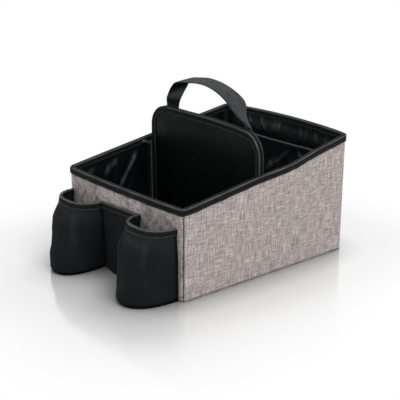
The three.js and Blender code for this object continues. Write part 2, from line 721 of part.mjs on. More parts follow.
// Narrow tape folded over the rear pocket's mouth
function rearPocketBinding() {
  const profile = foldedTape(REAR_POCKET_FABRIC + 2 * FIT, REAR_POCKET_BAND, REAR_POCKET_BAND);
  const rings = rearPocketColumns().map((column) => (
    profile.map((p) => rearPocketPoint(column, REAR_POCKET_TOP + p.y, p.x - FIT))
  ));
  return sweptSolid(rings, profile, false);
}

// The caddy, piece by piece
const caddy = new THREE.Group();

function addPiece(name, geometry, finish) {
  const material = new THREE.MeshStandardMaterial({ metalness: 0, side: THREE.DoubleSide, ...finish });
  const piece = new THREE.Mesh(geometry, material);
  piece.name = name;
  caddy.add(piece);
}

for (const name of SIDE_NAMES) {
  const seamToSeam = wallStations(name);
  const flat = straightStations(name);
  addPiece(`outer_${name}`, wallLayer(seamToSeam, OUTER_FABRIC + FIT, 0, OUTER_FABRIC), FABRIC_GREY);
  addPiece(`board_${name}`, wallLayer(flat, FLOOR_BOARD_BOTTOM, BOARD_INSET, WALL_BOARD), BOARD_GREY);
  addPiece(`lining_${name}`, wallLayer(seamToSeam, FLOOR_LINING_BOTTOM, LINING_INSET, LINING), LINING_BLACK);
}

addPiece('outer_floor', floorSheet(0, 0, OUTER_FABRIC), FABRIC_GREY);
addPiece('board_floor', floorSheet(LINING_INSET, FLOOR_BOARD_BOTTOM, FLOOR_BOARD), BOARD_GREY);
addPiece('lining_floor', floorSheet(WALL + FIT, FLOOR_LINING_BOTTOM, LINING), LINING_BLACK);
addPiece('rim_binding', rimBinding(), TAPE_CHARCOAL);

const CORNER_NAMES = { front: 'front_right', right: 'back_right', back: 'back_left', left: 'front_left' };
for (const name of SIDE_NAMES) {
  addPiece(`corner_binding_${CORNER_NAMES[name]}`, cornerBinding(name), TAPE_CHARCOAL);
}

addPiece('divider_board', dividerLayer(-DIVIDER_CORE / 2, DIVIDER_CORE, 1, false), BOARD_GREY);
addPiece('divider_pad_front', dividerLayer(DIVIDER_CORE / 2 + FIT, DIVIDER_PAD, -1, true), PAD_BLACK);
addPiece('divider_pad_back', dividerLayer(DIVIDER_CORE / 2 + FIT, DIVIDER_PAD, 1, true), PAD_BLACK);
addPiece('divider_binding', dividerBinding(), TAPE_CHARCOAL);
addPiece('divider_flange_left', dividerFlange('left'), TAPE_CHARCOAL);
addPiece('divider_flange_right', dividerFlange('right'), TAPE_CHARCOAL);

addPiece('handle_strap', handleStrap(), WEBBING_GREY);
addPiece('handle_tail_left', handleTail(-1), WEBBING_GREY);
addPiece('handle_tail_right', handleTail(1), WEBBING_GREY);

for (const [name, pocket] of Object.entries(POCKETS)) {
  addPiece(`cup_pocket_${name}`, pocketWall(pocket), POCKET_BLACK);
  addPiece(`cup_pocket_floor_${name}`, pocketFloor(pocket), POCKET_BLACK);
  addPiece(`cup_pocket_binding_${name}`, pocketBinding(pocket), TAPE_CHARCOAL);
}
addPiece('pocket_centre_panel', pocketCentrePanel(), POCKET_BLACK);
addPiece('pocket_centre_binding', pocketCentreBinding(), TAPE_CHARCOAL);

addPiece('rear_pocket_panel', rearPocketPanel(), LINING_BLACK);
addPiece('rear_pocket_binding', rearPocketBinding(), TAPE_CHARCOAL);

// The origin lies on the ground under the middle of the caddy's bounding box
const extent = new THREE.Box3().setFromObject(caddy);
const middle = extent.getCenter(new THREE.Vector3());
caddy.position.set(-middle.x, -middle.y, -extent.min.z);

const storageCaddy = new THREE.Group();
storageCaddy.add(caddy);

export default storageCaddy;
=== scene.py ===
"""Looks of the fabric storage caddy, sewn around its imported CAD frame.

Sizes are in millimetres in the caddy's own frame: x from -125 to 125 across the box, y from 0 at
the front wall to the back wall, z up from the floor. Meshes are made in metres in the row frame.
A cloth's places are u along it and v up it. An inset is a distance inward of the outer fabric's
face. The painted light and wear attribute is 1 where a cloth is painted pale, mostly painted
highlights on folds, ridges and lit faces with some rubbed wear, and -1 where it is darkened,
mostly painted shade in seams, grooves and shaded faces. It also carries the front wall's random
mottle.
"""

import json
import logging
import math
from collections.abc import Sequence
from dataclasses import dataclass, field
from enum import Enum

import bmesh
import bpy
import numpy as np
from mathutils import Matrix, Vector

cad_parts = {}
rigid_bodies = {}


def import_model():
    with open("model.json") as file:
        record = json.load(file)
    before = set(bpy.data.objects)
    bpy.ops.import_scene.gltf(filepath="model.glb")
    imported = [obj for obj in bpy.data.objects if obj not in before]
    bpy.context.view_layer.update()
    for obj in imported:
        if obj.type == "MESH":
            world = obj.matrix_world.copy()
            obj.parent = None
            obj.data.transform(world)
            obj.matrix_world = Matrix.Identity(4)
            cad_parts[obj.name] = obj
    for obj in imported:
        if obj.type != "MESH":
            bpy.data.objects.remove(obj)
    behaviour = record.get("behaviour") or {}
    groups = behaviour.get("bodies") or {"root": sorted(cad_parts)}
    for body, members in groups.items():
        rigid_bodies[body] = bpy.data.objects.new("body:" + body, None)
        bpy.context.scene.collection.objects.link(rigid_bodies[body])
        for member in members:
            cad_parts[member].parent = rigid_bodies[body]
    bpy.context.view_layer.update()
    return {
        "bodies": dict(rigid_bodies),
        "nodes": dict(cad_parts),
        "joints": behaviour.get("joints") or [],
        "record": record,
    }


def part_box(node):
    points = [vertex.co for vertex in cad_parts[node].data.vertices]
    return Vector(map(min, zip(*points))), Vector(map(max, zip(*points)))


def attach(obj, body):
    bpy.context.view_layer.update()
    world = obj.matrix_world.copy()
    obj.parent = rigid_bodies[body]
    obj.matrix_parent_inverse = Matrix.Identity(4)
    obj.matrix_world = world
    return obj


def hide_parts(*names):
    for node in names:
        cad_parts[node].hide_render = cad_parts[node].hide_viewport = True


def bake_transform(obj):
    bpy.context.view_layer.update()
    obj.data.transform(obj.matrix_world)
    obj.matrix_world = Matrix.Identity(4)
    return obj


log = logging.getLogger("caddy")
Pair = tuple[float, float]
Place = tuple[float, float, float]
Colour = tuple[float, float, float]
Wraps = tuple[bool, bool]
Grid = np.ndarray
Piece = bpy.types.Object
Material = bpy.types.Material
Socket = bpy.types.NodeSocket
MM = 0.001
CLOTH_MAP = "cloth"
# Name of the point attribute that holds painted highlights and painted shade, with some wear.
PAINTED_LIGHT_AND_WEAR = "wear"
GROOVE = 1.8  # The stitched groove's distance from the end of a folded tape's leg.
LEG = 9.0  # The usual length of that leg.


def smoothstep(value: Grid, low: float, high: float) -> Grid:
    """Smooth rise from 0 at low to 1 at high."""
    share = np.clip((np.asarray(value, float) - low) / (high - low), 0.0, 1.0)
    return share * share * (3.0 - 2.0 * share)


def hump(value: Grid, middle: float, reach: float) -> Grid:
    """Soft hump of height 1 at a middle value."""
    return np.exp(-(((value - middle) / reach) ** 2))


def mix(a: Grid, b: Grid, share: Grid) -> Grid:
    """Straight mix from a to b."""
    return a + (b - a) * share


def unit(vectors: Grid) -> Grid:
    """The same directions at length one."""
    return vectors / np.maximum(np.linalg.norm(vectors, axis=-1, keepdims=True), 1e-9)


def blunted(value: Grid, power: float) -> Grid:
    """A power of a value that keeps its sign."""
    return np.sign(value) * np.abs(value) ** power


def closed(ring: Grid) -> Grid:
    """A ring with its first point again at the end."""
    return np.concatenate([ring, ring[:1]])


def run_along(line: Grid) -> Grid:
    """Length along a line at each of its points."""
    return np.concatenate([[0.0], np.cumsum(np.linalg.norm(np.diff(line, axis=0), axis=1))])


def sampled(at: Grid, run: Grid, values: Grid) -> Grid:
    """Values along a run, read at other places of it."""
    return np.stack([np.interp(at, run, column) for column in values.T], -1)


def laid(u: Grid, v: Grid) -> Grid:
    """Cloth coordinates from places along and up the cloth."""
    return np.stack(np.broadcast_arrays(u, v), -1)


def smooth_line(points: Sequence[Place], steps: int) -> Grid:
    """A smooth line through points.

    Args:
        points: The points.
        steps: How many steps lie between each two.

    Returns:
        The line's points.
    """
    inner = np.array(points, float)
    whole = np.concatenate([2.0 * inner[:1] - inner[1:2], inner, 2.0 * inner[-1:] - inner[-2:-1]])
    t = np.linspace(0.0, 1.0, steps, endpoint=False)[None, :, None]
    before, start, end, after = (whole[k:len(whole) - 3 + k, None] for k in range(4))
    bend = 2.0 * before - 5.0 * start + 4.0 * end - after
    turn = 3.0 * (start - end) + after - before
    line = 0.5 * (2.0 * start + (end - before) * t + bend * t**2 + turn * t**3)
    return np.concatenate([line.reshape(-1, 3), inner[-1:]])


def drift(u: Grid, v: Grid | float, wavelength: float, seed: int, waves: int = 8) -> Grid:
    """Soft irregular waves over a cloth.

    Args:
        u: Places along the cloth.
        v: Places up the cloth.
        wavelength: Mean length of the waves.
        seed: Seed of the waves' directions and phases.
        waves: How many waves are added up.

    Returns:
        Heights of about -1 to 1.
    """
    rng = np.random.default_rng(seed)
    total = np.zeros(np.broadcast(u, v).shape)
    for _ in range(waves):
        angle, phase = rng.uniform(0.0, math.tau, 2)
        length = wavelength * rng.uniform(0.6, 1.7)
        across = u * math.cos(angle) + v * math.sin(angle)
        total += np.cos(math.tau * across / length + phase)
    return total / math.sqrt(2.0 * waves)


@dataclass(frozen=True)
class Ridge:
    """A soft ridge: how high it is, where it lies and how far it reaches to both sides."""

    height: float
    middle: float
    reach: float

    def at(self, value: Grid) -> Grid:
        """Height of the ridge at some values."""
        return self.height * hump(value, self.middle, self.reach)


@dataclass(frozen=True)
class Fold:
    """A soft crease in a cloth, straight from one place to another."""

    start: Pair
    end: Pair
    height: float
    half_width: float

    def heights(self, u: Grid, v: Grid) -> Grid:
        """Height of the crease over the cloth.

        Args:
            u: Places along the cloth.
            v: Places up the cloth.

        Returns:
            The heights.
        """
        along = np.subtract(self.end, self.start)
        length = float(np.hypot(*along))
        along = along / length
        from_u, from_v = u - self.start[0], v - self.start[1]
        run = from_u * along[0] + from_v * along[1]
        aside = from_v * along[0] - from_u * along[1]
        fade = smoothstep(run, -0.15 * length, 0.25 * length)
        fade = fade * (1.0 - smoothstep(run, 0.75 * length, 1.15 * length))
        return self.height * fade * hump(aside, 0.0, self.half_width)


def scattered_folds(seed: int, count: int, span: Pair, rise: Pair, height: float,
                    lean: float) -> list[Fold]:
    """Creases strewn over a cloth.

    Args:
        seed: Seed of their places.
        count: How many there are.
        span: Lowest and highest place along the cloth.
        rise: Lowest and highest place up the cloth.
        height: Height of the tallest.
        lean: Greatest angle from upright, in degrees.

    Returns:
        The creases.
    """
    rng = np.random.default_rng(seed)
    found = []
    for _ in range(count):
        u, v = rng.uniform(*span), rng.uniform(*rise)
        angle = math.radians(rng.uniform(-lean, lean))
        length = rng.uniform(24.0, 62.0)
        end = (u + length * math.sin(angle), v - length * math.cos(angle))
        found.append(Fold((u, v), end, height * rng.uniform(0.35, 1.0), rng.uniform(2.2, 5.5)))
    return found


def every_other(count: int) -> Grid:
    """Every other number under a count, and the last one."""
    return np.unique(np.append(np.arange(0, count, 2), count - 1))


def filled_in(values: Grid, rows: Grid, columns: Grid) -> Grid:
    """Values of a whole grid, from those of some rows and columns."""
    wide = np.stack([np.interp(np.arange(columns[-1] + 1), columns, line) for line in values])
    return np.stack([np.interp(np.arange(rows[-1] + 1), rows, line) for line in wide.T], 1)


# Meshes


def surface_normals(points: Grid) -> Grid:
    """Unit normals of a grid, its columns' direction crossed with its rows'."""
    return unit(np.cross(np.gradient(points, axis=1), np.gradient(points, axis=0)))


def make_object(name: str, points: Grid, faces: list, cloth: Grid, wear: Grid | None = None,
                flat_angle: float = 38.0) -> Piece:
    """A mesh object with cloth coordinates.

    Args:
        name: Name of the piece.
        points: Points in metres.
        faces: Faces as lists of point numbers.
        cloth: Cloth coordinates of every face corner.
        wear: Painted highlights and painted shade, with some wear, of every point.
        flat_angle: Edges sharper than this, in degrees, stay sharp.

    Returns:
        The object, linked to the scene.
    """
    mesh = bpy.data.meshes.new(name)
    mesh.from_pydata(points.reshape(-1, 3).tolist(), [], faces)
    layer = mesh.uv_layers.new(name=CLOTH_MAP)
    layer.uv.foreach_set("vector", np.asarray(cloth, np.float32).ravel())
    # Painted highlights and painted shade, with some wear, are stored on the points for the
    # finishes.
    if wear is not None:
        painted_light_and_rub = mesh.attributes.new(PAINTED_LIGHT_AND_WEAR, "FLOAT", "POINT")
        painted_light_and_rub.data.foreach_set("value", np.asarray(wear, np.float32).ravel())
    piece = bpy.data.objects.new(name, mesh)
    bpy.context.scene.collection.objects.link(piece)
    shape = bmesh.new()
    shape.from_mesh(mesh)
    bmesh.ops.recalc_face_normals(shape, faces=shape.faces)
    shape.to_mesh(mesh)
    shape.free()
    mesh.shade_smooth()
    mesh.set_sharp_from_angle(angle=math.radians(flat_angle))
    return piece


def grid_faces(index: Grid, cloth: Grid, wrap: Wraps = (False, False)) -> tuple[list, Grid]:
    """Quads of a grid and their cloth coordinates.

    Args:
        index: Point numbers in rows and columns.
        cloth: Cloth coordinates, with one more row or column where the grid closes.
        wrap: Whether rows and columns close on themselves.

    Returns:
        The quads, and the coordinates of their corners.
    """
    rows, columns = index.shape
    r = np.arange(rows if wrap[0] else rows - 1)[:, None]
    c = np.arange(columns if wrap[1] else columns - 1)[None, :]
    r2, c2 = (r + 1) % rows, (c + 1) % columns
    quads = np.stack([index[r, c], index[r, c2], index[r2, c2], index[r2, c]], -1)
    corners = np.stack([cloth[r, c], cloth[r, c + 1], cloth[r + 1, c + 1], cloth[r + 1, c]], -2)
    return quads.reshape(-1, 4).tolist(), corners.reshape(-1, 2)


def stacked_rings(outline: Grid, middle: Grid, levels: Sequence[Pair]) -> tuple[Grid, Grid]:
    """Rings of a flat disc of cloth, from one side's middle round its edge to the other's.

    Args:
        outline: The disc's outline in plan.
        middle: Its middle.
        levels: Share of the way out to the outline, and height, of each ring.

    Returns:
        The rings' points and their cloth coordinates.
    """
    places = [middle + (outline - middle) * share for share, _ in levels]
    rings = [np.column_stack([place, np.full(len(place), z)])
             for place, (_, z) in zip(places, levels)]
    return np.array(rings), np.array([closed(place) for place in places])


@dataclass(frozen=True)
class Settling:
    """How a sewn-down cloth settles in a short simulation."""

    frames: int = 18
    spare: float = 0.03
    stiffness: float = 12.0
    bending: float = 0.25
    gravity: float = 0.0
    most: float = 2.0

    def run(self, points: Grid, held: Grid, outward: Grid) -> Grid:
        """Lets a cloth with some spare length buckle between the places that hold it.

        Args:
            points: Grid of points in metres.
            held: How firmly each point is held, 0 to 1.
            outward: The side to which the cloth may move, as unit vectors.

        Returns:
            The settled grid. Its points only moved outward, and by no more than the most.
        """
        index = np.arange(held.size).reshape(held.shape)
        faces, corners = grid_faces(index, np.zeros((*held.shape, 2)))
        cloth = make_object("settling", points, faces, corners)
        group = cloth.vertex_groups.new(name="held")
        for number, weight in enumerate(held.ravel().tolist()):
            if weight > 0.0:
                group.add([number], weight, "REPLACE")
        modifier = cloth.modifiers.new("settling", "CLOTH")
        settings = modifier.settings
        settings.quality = 6
        settings.mass = 0.15
        settings.tension_stiffness = settings.compression_stiffness = self.stiffness
        settings.shear_stiffness = 4.0
        settings.bending_stiffness = self.bending
        settings.vertex_group_mass = "held"
        settings.shrink_min = -self.spare
        settings.effector_weights.gravity = self.gravity
        modifier.collision_settings.use_collision = False
        modifier.point_cache.frame_start, modifier.point_cache.frame_end = 1, self.frames
        scene = bpy.context.scene
        for frame in range(1, self.frames + 1):
            scene.frame_set(frame)
        graph = bpy.context.evaluated_depsgraph_get()
        settled = np.empty(held.size * 3, np.float32)
        cloth.evaluated_get(graph).data.vertices.foreach_get("co", settled)
        scene.frame_set(1)
        mesh = cloth.data
        bpy.data.objects.remove(cloth)
        bpy.data.meshes.remove(mesh)
        moved = settled.reshape(points.shape).astype(float) - points
        out = np.sum(moved * outward, -1)
        limit = self.most * MM
        soft = limit * np.tanh(np.sqrt(out * out + (0.1 * limit) ** 2) / limit)
        soft = np.maximum(soft - limit * math.tanh(0.1), 0.0)
        return points + outward * (soft * (1.0 - held))[..., None]


# The box in plan


class Side(Enum):
    """The four walls, in order round the box."""

    FRONT = "front"
    RIGHT = "right"
    BACK = "back"
    LEFT = "left"


@dataclass(frozen=True)
class Wall:
    """One wall in plan: its start, the way it runs, its length, bow, rim dip and bulge."""

    start: Pair
    along: Pair
    length: float
    bow: float
    dip: float
    bulge: float = 0.0

    @property
    def out(self) -> Grid:
        """Direction outward."""
        return np.array([self.along[1], -self.along[0]])


@dataclass
class Stations:
    """Places round the walls, one row each: place, outward direction, bow, dip and run."""

    place: Grid
    out: Grid
    bow: Grid
    dip: Grid
    run: Grid

    @property
    def from_ends(self) -> Grid:
        """Distance from the nearer end of the run, as one row."""
        return np.minimum(self.run - self.run[0], self.run[-1] - self.run)[None, :]

    def joined(self, *others: "Stations") -> "Stations":
        """These places and then the other ones."""
        columns = zip(*(vars(stations).values() for stations in (self, *others)))
        return Stations(*(np.concatenate(column) for column in columns))

    def part(self, chosen: slice) -> "Stations":
        """Some of the places."""
        return Stations(*(column[chosen] for column in vars(self).values()))


@dataclass(frozen=True)
class BoxForm:
    """The box's sizes and the shape of its walls."""

    width: float = 250.0
    depth: float = 296.0
    front_height: float = 124.0
    back_height: float = 170.5
    back_crest: float = 4.0
    corner: float = 7.0
    right_lean: float = 1.5
    bulge_from_front: float = 180.0
    bulge_reach: float = 42.0
    floor_top: float = 4.7
    wall: float = 4.2
    tape: float = 0.8
    fit: float = 0.3
    origin: Pair = (0.0, 0.0)

    @property
    def half(self) -> float:
        """Half the width."""
        return self.width / 2.0

    def side(self, side: Side) -> Wall:
        """The wall on one side.

        Args:
            side: Which side.

        Returns:
            The wall.
        """
        half, width, depth = self.half, self.width, self.depth
        return {
            Side.FRONT: Wall((-half, 0.0), (1.0, 0.0), width, 3.0, 0.5),
            Side.RIGHT: Wall((half, 0.0), (0.0, 1.0), depth, 3.0, 0.5, 7.0),
            Side.BACK: Wall((half, depth), (-1.0, 0.0), width, 3.0, -self.back_crest),
            Side.LEFT: Wall((-half, depth), (0.0, -1.0), depth, 2.0, 0.5),
        }[side]

    def flat_size(self, side: Side) -> tuple[float, float, float]:
        """Size of a wall's cloth when it lies flat.

        Args:
            side: The wall.

        Returns:
            Its length, mean height and greatest height.
        """
        mean = (self.front_height + self.back_height) / 2.0
        crest = self.back_height + self.back_crest
        tall, tallest = {Side.FRONT: (self.front_height, self.front_height),
                         Side.BACK: (crest, crest)}.get(side, (mean, self.back_height))
        return self.side(side).length, tall, tallest

    def before(self, side: Side) -> float:
        """Length of the walls before one, round the box."""
        order = list(Side)
        return sum(self.side(s).length for s in order[: order.index(side)])

    def stations(self, side: Side, distances: Grid) -> Stations:
        """Places along a wall's straight part.

        Args:
            side: The wall.
            distances: Distances from the wall's start.

        Returns:
            The places.
        """
        wall = self.side(side)
        distances = np.asarray(distances, float)
        share = np.clip((distances - self.corner) / (wall.length - 2.0 * self.corner), 0.0, 1.0)
        arch = np.sin(math.pi * share).clip(0.0) ** 0.7
        bow = wall.bow + wall.bulge * hump(distances, self.bulge_from_front, self.bulge_reach)
        place = np.array(wall.start) + distances[:, None] * np.array(wall.along)
        return Stations(place, np.broadcast_to(wall.out, place.shape), bow * arch,
                        wall.dip * arch, self.before(side) + distances)

    def corner_stations(self, side: Side, end: int, steps: int) -> Stations:
        """Half of a round corner, between a wall's straight part and the seam.

        Args:
            side: The wall.
            end: -1 before the wall's start, 1 after its end.
            steps: How many places it has.

        Returns:
            The places, in order round the box.
        """
        wall = self.side(side)
        along = np.array(wall.along)
        distance = self.corner if end < 0 else wall.length - self.corner
        centre = np.array(wall.start) + distance * along - wall.out * self.corner
        angle = np.linspace(math.pi / 4.0, 0.0, steps, endpoint=False)
        angle = angle if end < 0 else angle[::-1]
        facing = wall.out * np.cos(angle)[:, None] + end * along * np.sin(angle)[:, None]
        run = self.before(side) + distance + end * self.corner * angle
        zero = np.zeros(steps)
        return Stations(centre + facing * self.corner, facing, zero, zero, run)

    def wall_run(self, side: Side, step: float, corner_steps: int = 5) -> Stations:
        """A whole wall, from corner seam to corner seam.

        Args:
            side: The wall.
            step: Distance between places on its straight part.
            corner_steps: How many places each half corner has.

        Returns:
            The places.
        """
        length = self.side(side).length
        count = int(round((length - 2.0 * self.corner) / step)) + 1
        middle = self.stations(side, np.linspace(self.corner, length - self.corner, count))
        first = self.corner_stations(side, -1, corner_steps)
        return first.joined(middle, self.corner_stations(side, 1, corner_steps))

    def ring(self, step: float) -> Stations:
        """All four walls, once round the box."""
        runs = [self.wall_run(side, step).part(slice(None, -1)) for side in Side]
        return runs[0].joined(*runs[1:])

    def rim(self, stations: Stations) -> Grid:
        """Height of the rim over places."""
        slope = (self.back_height - self.front_height) / self.depth
        return self.front_height + slope * stations.place[:, 1] - stations.dip

    def points(self, stations: Stations, z: Grid, inset: Grid | float) -> Grid:
        """Points of the walls.

        Args:
            stations: Places round the walls.
            z: Heights, in rows over the places.
            inset: Insets, in the same shape or one number.

        Returns:
            Points in millimetres, in rows and columns.
        """
        rise = np.clip((z - self.floor_top) / (self.rim(stations) - self.floor_top), 0.0, 1.0)
        out = stations.bow * rise**1.3 - inset
        x = stations.place[:, 0] + stations.out[:, 0] * out
        y = stations.place[:, 1] + stations.out[:, 1] * out
        lean = self.right_lean * rise * (x + self.half) / self.width
        return np.stack([x + lean, y, np.broadcast_to(z, x.shape)], -1)

    def world(self, points: Grid) -> Grid:
        """Points in metres in the row frame."""
        return (np.asarray(points, float) + np.array([*self.origin, 0.0])) * MM

    def face(self, side: Side, x: Grid, z: Grid, inset: float = 0.0) -> Grid:
        """How far back a face of the front or back wall stands.

        Args:
            side: The front or back wall.
            x: Places across the box.
            z: Heights.
            inset: The face's inset.

        Returns:
            Its y at these places.
        """
        x, z = np.broadcast_arrays(np.asarray(x, float), np.asarray(z, float))
        distance = x.ravel() + self.half if side is Side.FRONT else self.half - x.ravel()
        found = self.points(self.stations(side, distance), z.ravel(), inset)
        return found[:, 1].reshape(x.shape)


# Finishes


def scaled(colour: Colour, share: float) -> Colour:
    """A lighter or darker colour."""
    return tuple(min(1.0, part * share) for part in colour)


class Nodes:
    """A node tree under construction."""

    def __init__(self, tree: bpy.types.NodeTree) -> None:
        """Starts from an empty tree."""
        self.tree = tree
        tree.nodes.clear()

    def node(self, kind: str, inputs: dict | None = None, **settings: object) -> bpy.types.Node:
        """Adds a node.

        Args:
            kind: Blender's name for its type.
            inputs: Values, colours or sockets by the input's name or number.
            settings: The node's own settings.

        Returns:
            The node.
        """
        node = self.tree.nodes.new(kind)
        for key, value in settings.items():
            setattr(node, key, value)
        for key, value in (inputs or {}).items():
            if isinstance(value, Socket):
                self.tree.links.new(value, node.inputs[key])
            elif node.inputs[key].type == "RGBA":
                node.inputs[key].default_value = (*value, 1.0)
            else:
                node.inputs[key].default_value = value
        return node

    def math(self, operation: str, a: object, b: object = 0.0, c: object = 0.0) -> Socket:
        """A number worked out from one to three others."""
        return self.node("ShaderNodeMath", {0: a, 1: b, 2: c}, operation=operation).outputs[0]

    def seen_share(self) -> Socket:
        """What the camera sees directly, in gloss or through glass.

        Returns:
            1 for that, else 0.
        """
        path = self.node("ShaderNodeLightPath")
        share = path.outputs["Is Camera Ray"]
        for name in ("Is Glossy Ray", "Is Transmission Ray"):
            share = self.math("MAXIMUM", share, path.outputs[name])
        return share


class Shader(Nodes):
    """A material's nodes under construction."""

    def __init__(self, name: str) -> None:
        """Starts a material.

        Args:
            name: Name of the finish.
        """
        self.material = bpy.data.materials.new(name)
        self.material.use_nodes = True
        super().__init__(self.material.node_tree)

    def total(self, *parts: tuple[object, float]) -> Socket:
        """A weighted sum.

        Args:
            parts: Values and their shares.

        Returns:
            The sum.
        """
        value = 0.0
        for part, share in parts:
            value = self.math("MULTIPLY_ADD", part, share, value)
        return value

    def blend(self, share: object, a: object, b: object, way: str = "MIX") -> Socket:
        """A colour between two, at 0 the first one."""
        return self.node("ShaderNodeMix", {0: share, 6: a, 7: b}, data_type="RGBA",
                         blend_type=way).outputs[2]

    def with_painted_light_and_wear(self, colour: object, pale: Colour, deep: Colour) -> Socket:
        """A colour with painted highlights and painted shade, and some wear, read from a point
        attribute.

        Args:
            colour: The cloth's own colour.
            pale: Its colour under a painted highlight and where it is rubbed.
            deep: Its colour under painted shade, mostly in a seam.

        Returns:
            The colour.
        """
        # Above zero the colour goes toward the painted highlight colour, below zero toward the
        # painted shade colour.
        wear = self.node("ShaderNodeAttribute", attribute_name=PAINTED_LIGHT_AND_WEAR).outputs["Fac"]
        patches = self.cloud(*self.cloth(), (5.0, 5.0), 3.0)
        patchy = self.math("MULTIPLY_ADD", patches, 1.1, 0.45)
        painted_light_and_rub = self.math("MULTIPLY", self.math("MAXIMUM", wear, 0.0), patchy)
        colour = self.blend(self.math("MINIMUM", painted_light_and_rub, 1.0), colour, pale)
        sunk = self.math("MAXIMUM", self.math("MULTIPLY", wear, -1.0), 0.0)
        return self.blend(self.math("MINIMUM", sunk, 1.0), colour, deep)

    def cloth(self) -> tuple[Socket, Socket]:
        """Places on the cloth, in millimetres.

        Returns:
            The place along it and the place up it.
        """
        place = self.node("ShaderNodeUVMap", uv_map=CLOTH_MAP).outputs[0]
        split = self.node("ShaderNodeSeparateXYZ", {0: place})
        return split.outputs[0], split.outputs[1]

    def cloud(self, u: object, v: object, size: Pair, detail: float = 2.0,
              rough: float = 0.5) -> Socket:
        """Noise from 0 to 1 over the cloth.

        Args:
            u: Places along the cloth.
            v: Places up the cloth.
            size: Size of its features both ways.
            detail: How many finer sizes are added.
            rough: How strong each of them is.

        Returns:
            The noise.
        """
        place = self.node("ShaderNodeCombineXYZ", {
            0: self.math("DIVIDE", u, size[0]), 1: self.math("DIVIDE", v, size[1])}).outputs[0]
        return self.node("ShaderNodeTexNoise", {
            "Vector": place, "Scale": 1.0, "Detail": detail, "Roughness": rough}).outputs[0]

    def ribs(self, place: object, pitch: float) -> Socket:
        """Ribs of one pitch, from 0 to 1."""
        turn = self.math("MULTIPLY", place, math.tau / pitch)
        return self.math("MULTIPLY_ADD", self.math("SINE", turn), 0.5, 0.5)

    def woven(self, u: Socket, v: Socket, thread: float) -> Socket:
        """A plain weave of one thread, from 0 to 1."""
        return self.math("MULTIPLY", self.ribs(u, 2.0 * thread), self.ribs(v, 2.0 * thread))

    def ramp(self, value: object, *stops: tuple[float, Colour]) -> Socket:
        """A colour by value.

        Args:
            value: The value.
            stops: Values and their colours, from the lowest.

        Returns:
            The colour.
        """
        node = self.node("ShaderNodeValToRGB", {0: value})
        elements = node.color_ramp.elements
        while len(elements) < len(stops):
            elements.new(0.5)
        for element, (place, colour) in zip(elements, stops):
            element.position, element.color = place, (*colour, 1.0)
        return node.outputs[0]

    def shades(self, value: object, colour: Colour, low: Pair, high: Pair) -> Socket:
        """A colour's shades by value, from one place and share of it to another."""
        return self.ramp(value, *((place, scaled(colour, share)) for place, share in (low, high)))

    def finish(self, colour: object, roughness: object, height: object, depth: float,
               **sockets: float) -> Material:
        """Ends the material with its surface.

        Args:
            colour: Base colour.
            roughness: Roughness.
            height: Relief from 0 to 1.
            depth: Depth of the relief, in metres.
            sockets: Other values of the surface, with _ for each space in a name.

        Returns:
            The material.
        """
        bump = self.node("ShaderNodeBump", {"Strength": 0.8, "Distance": depth, "Height": height})
        inputs = {"Base Color": colour, "Roughness": roughness, "Normal": bump.outputs[0]}
        inputs |= {key.replace("_", " "): value for key, value in sockets.items()}
        surface = self.node("ShaderNodeBsdfPrincipled", inputs)
        self.node("ShaderNodeOutputMaterial", {0: surface.outputs[0]})
        return self.material


@dataclass(frozen=True)
class LinenFinish:
    """Heathered cross weave of grey and beige threads with slubs."""

    warm: Colour = (0.394, 0.340, 0.328)
    cool: Colour = (0.375, 0.344, 0.330)
    thread: float = 0.8
    slub: Pair = (1.9, 21.0)
    fleck: Pair = (2.6, 3.4)
    cloud: Pair = (60.0, 45.0)
    relief: float = 0.0008

    def build(self) -> Material:
        """Builds the material.

        Returns:
            The material.
        """
        shader = Shader("heathered_linen")
        u, v = shader.cloth()
        wide, long = self.slub
        warp = shader.cloud(u, v, self.slub, 2.0, 0.6)
        weft = shader.cloud(v, u, (0.9 * wide, 0.8 * long), 2.0, 0.6)
        fine = shader.cloud(u, v, (self.thread, self.thread), 3.0, 0.6)
        fleck = shader.cloud(u, v, self.fleck, 3.0)
        tone = shader.total((warp, 0.38), (weft, 0.33), (fine, 0.12), (fleck, 0.17))
        light = shader.ramp(tone, (0.385, (0.46, 0.46, 0.46)), (0.450, (0.80, 0.80, 0.80)),
                            (0.515, (1.02, 1.02, 1.02)), (0.605, (1.62, 1.62, 1.62)))
        hue = shader.ramp(shader.cloud(u, v, self.cloud), (0.34, self.cool), (0.54, self.warm))
        colour = shader.blend(1.0, hue, light, "MULTIPLY")
        # Painted shade darkens the seams and the foot; the front wall's random mottle goes both
        # ways.
        colour = shader.with_painted_light_and_wear(colour, scaled(self.warm, 1.3), scaled(self.cool, 0.18))
        height = shader.total((shader.woven(u, v, self.thread), 0.22), (tone, 1.4))
        return shader.finish(colour, 0.95, height, self.relief, Specular_IOR_Level=0.15,
                             Sheen_Weight=0.08, Sheen_Roughness=0.5)


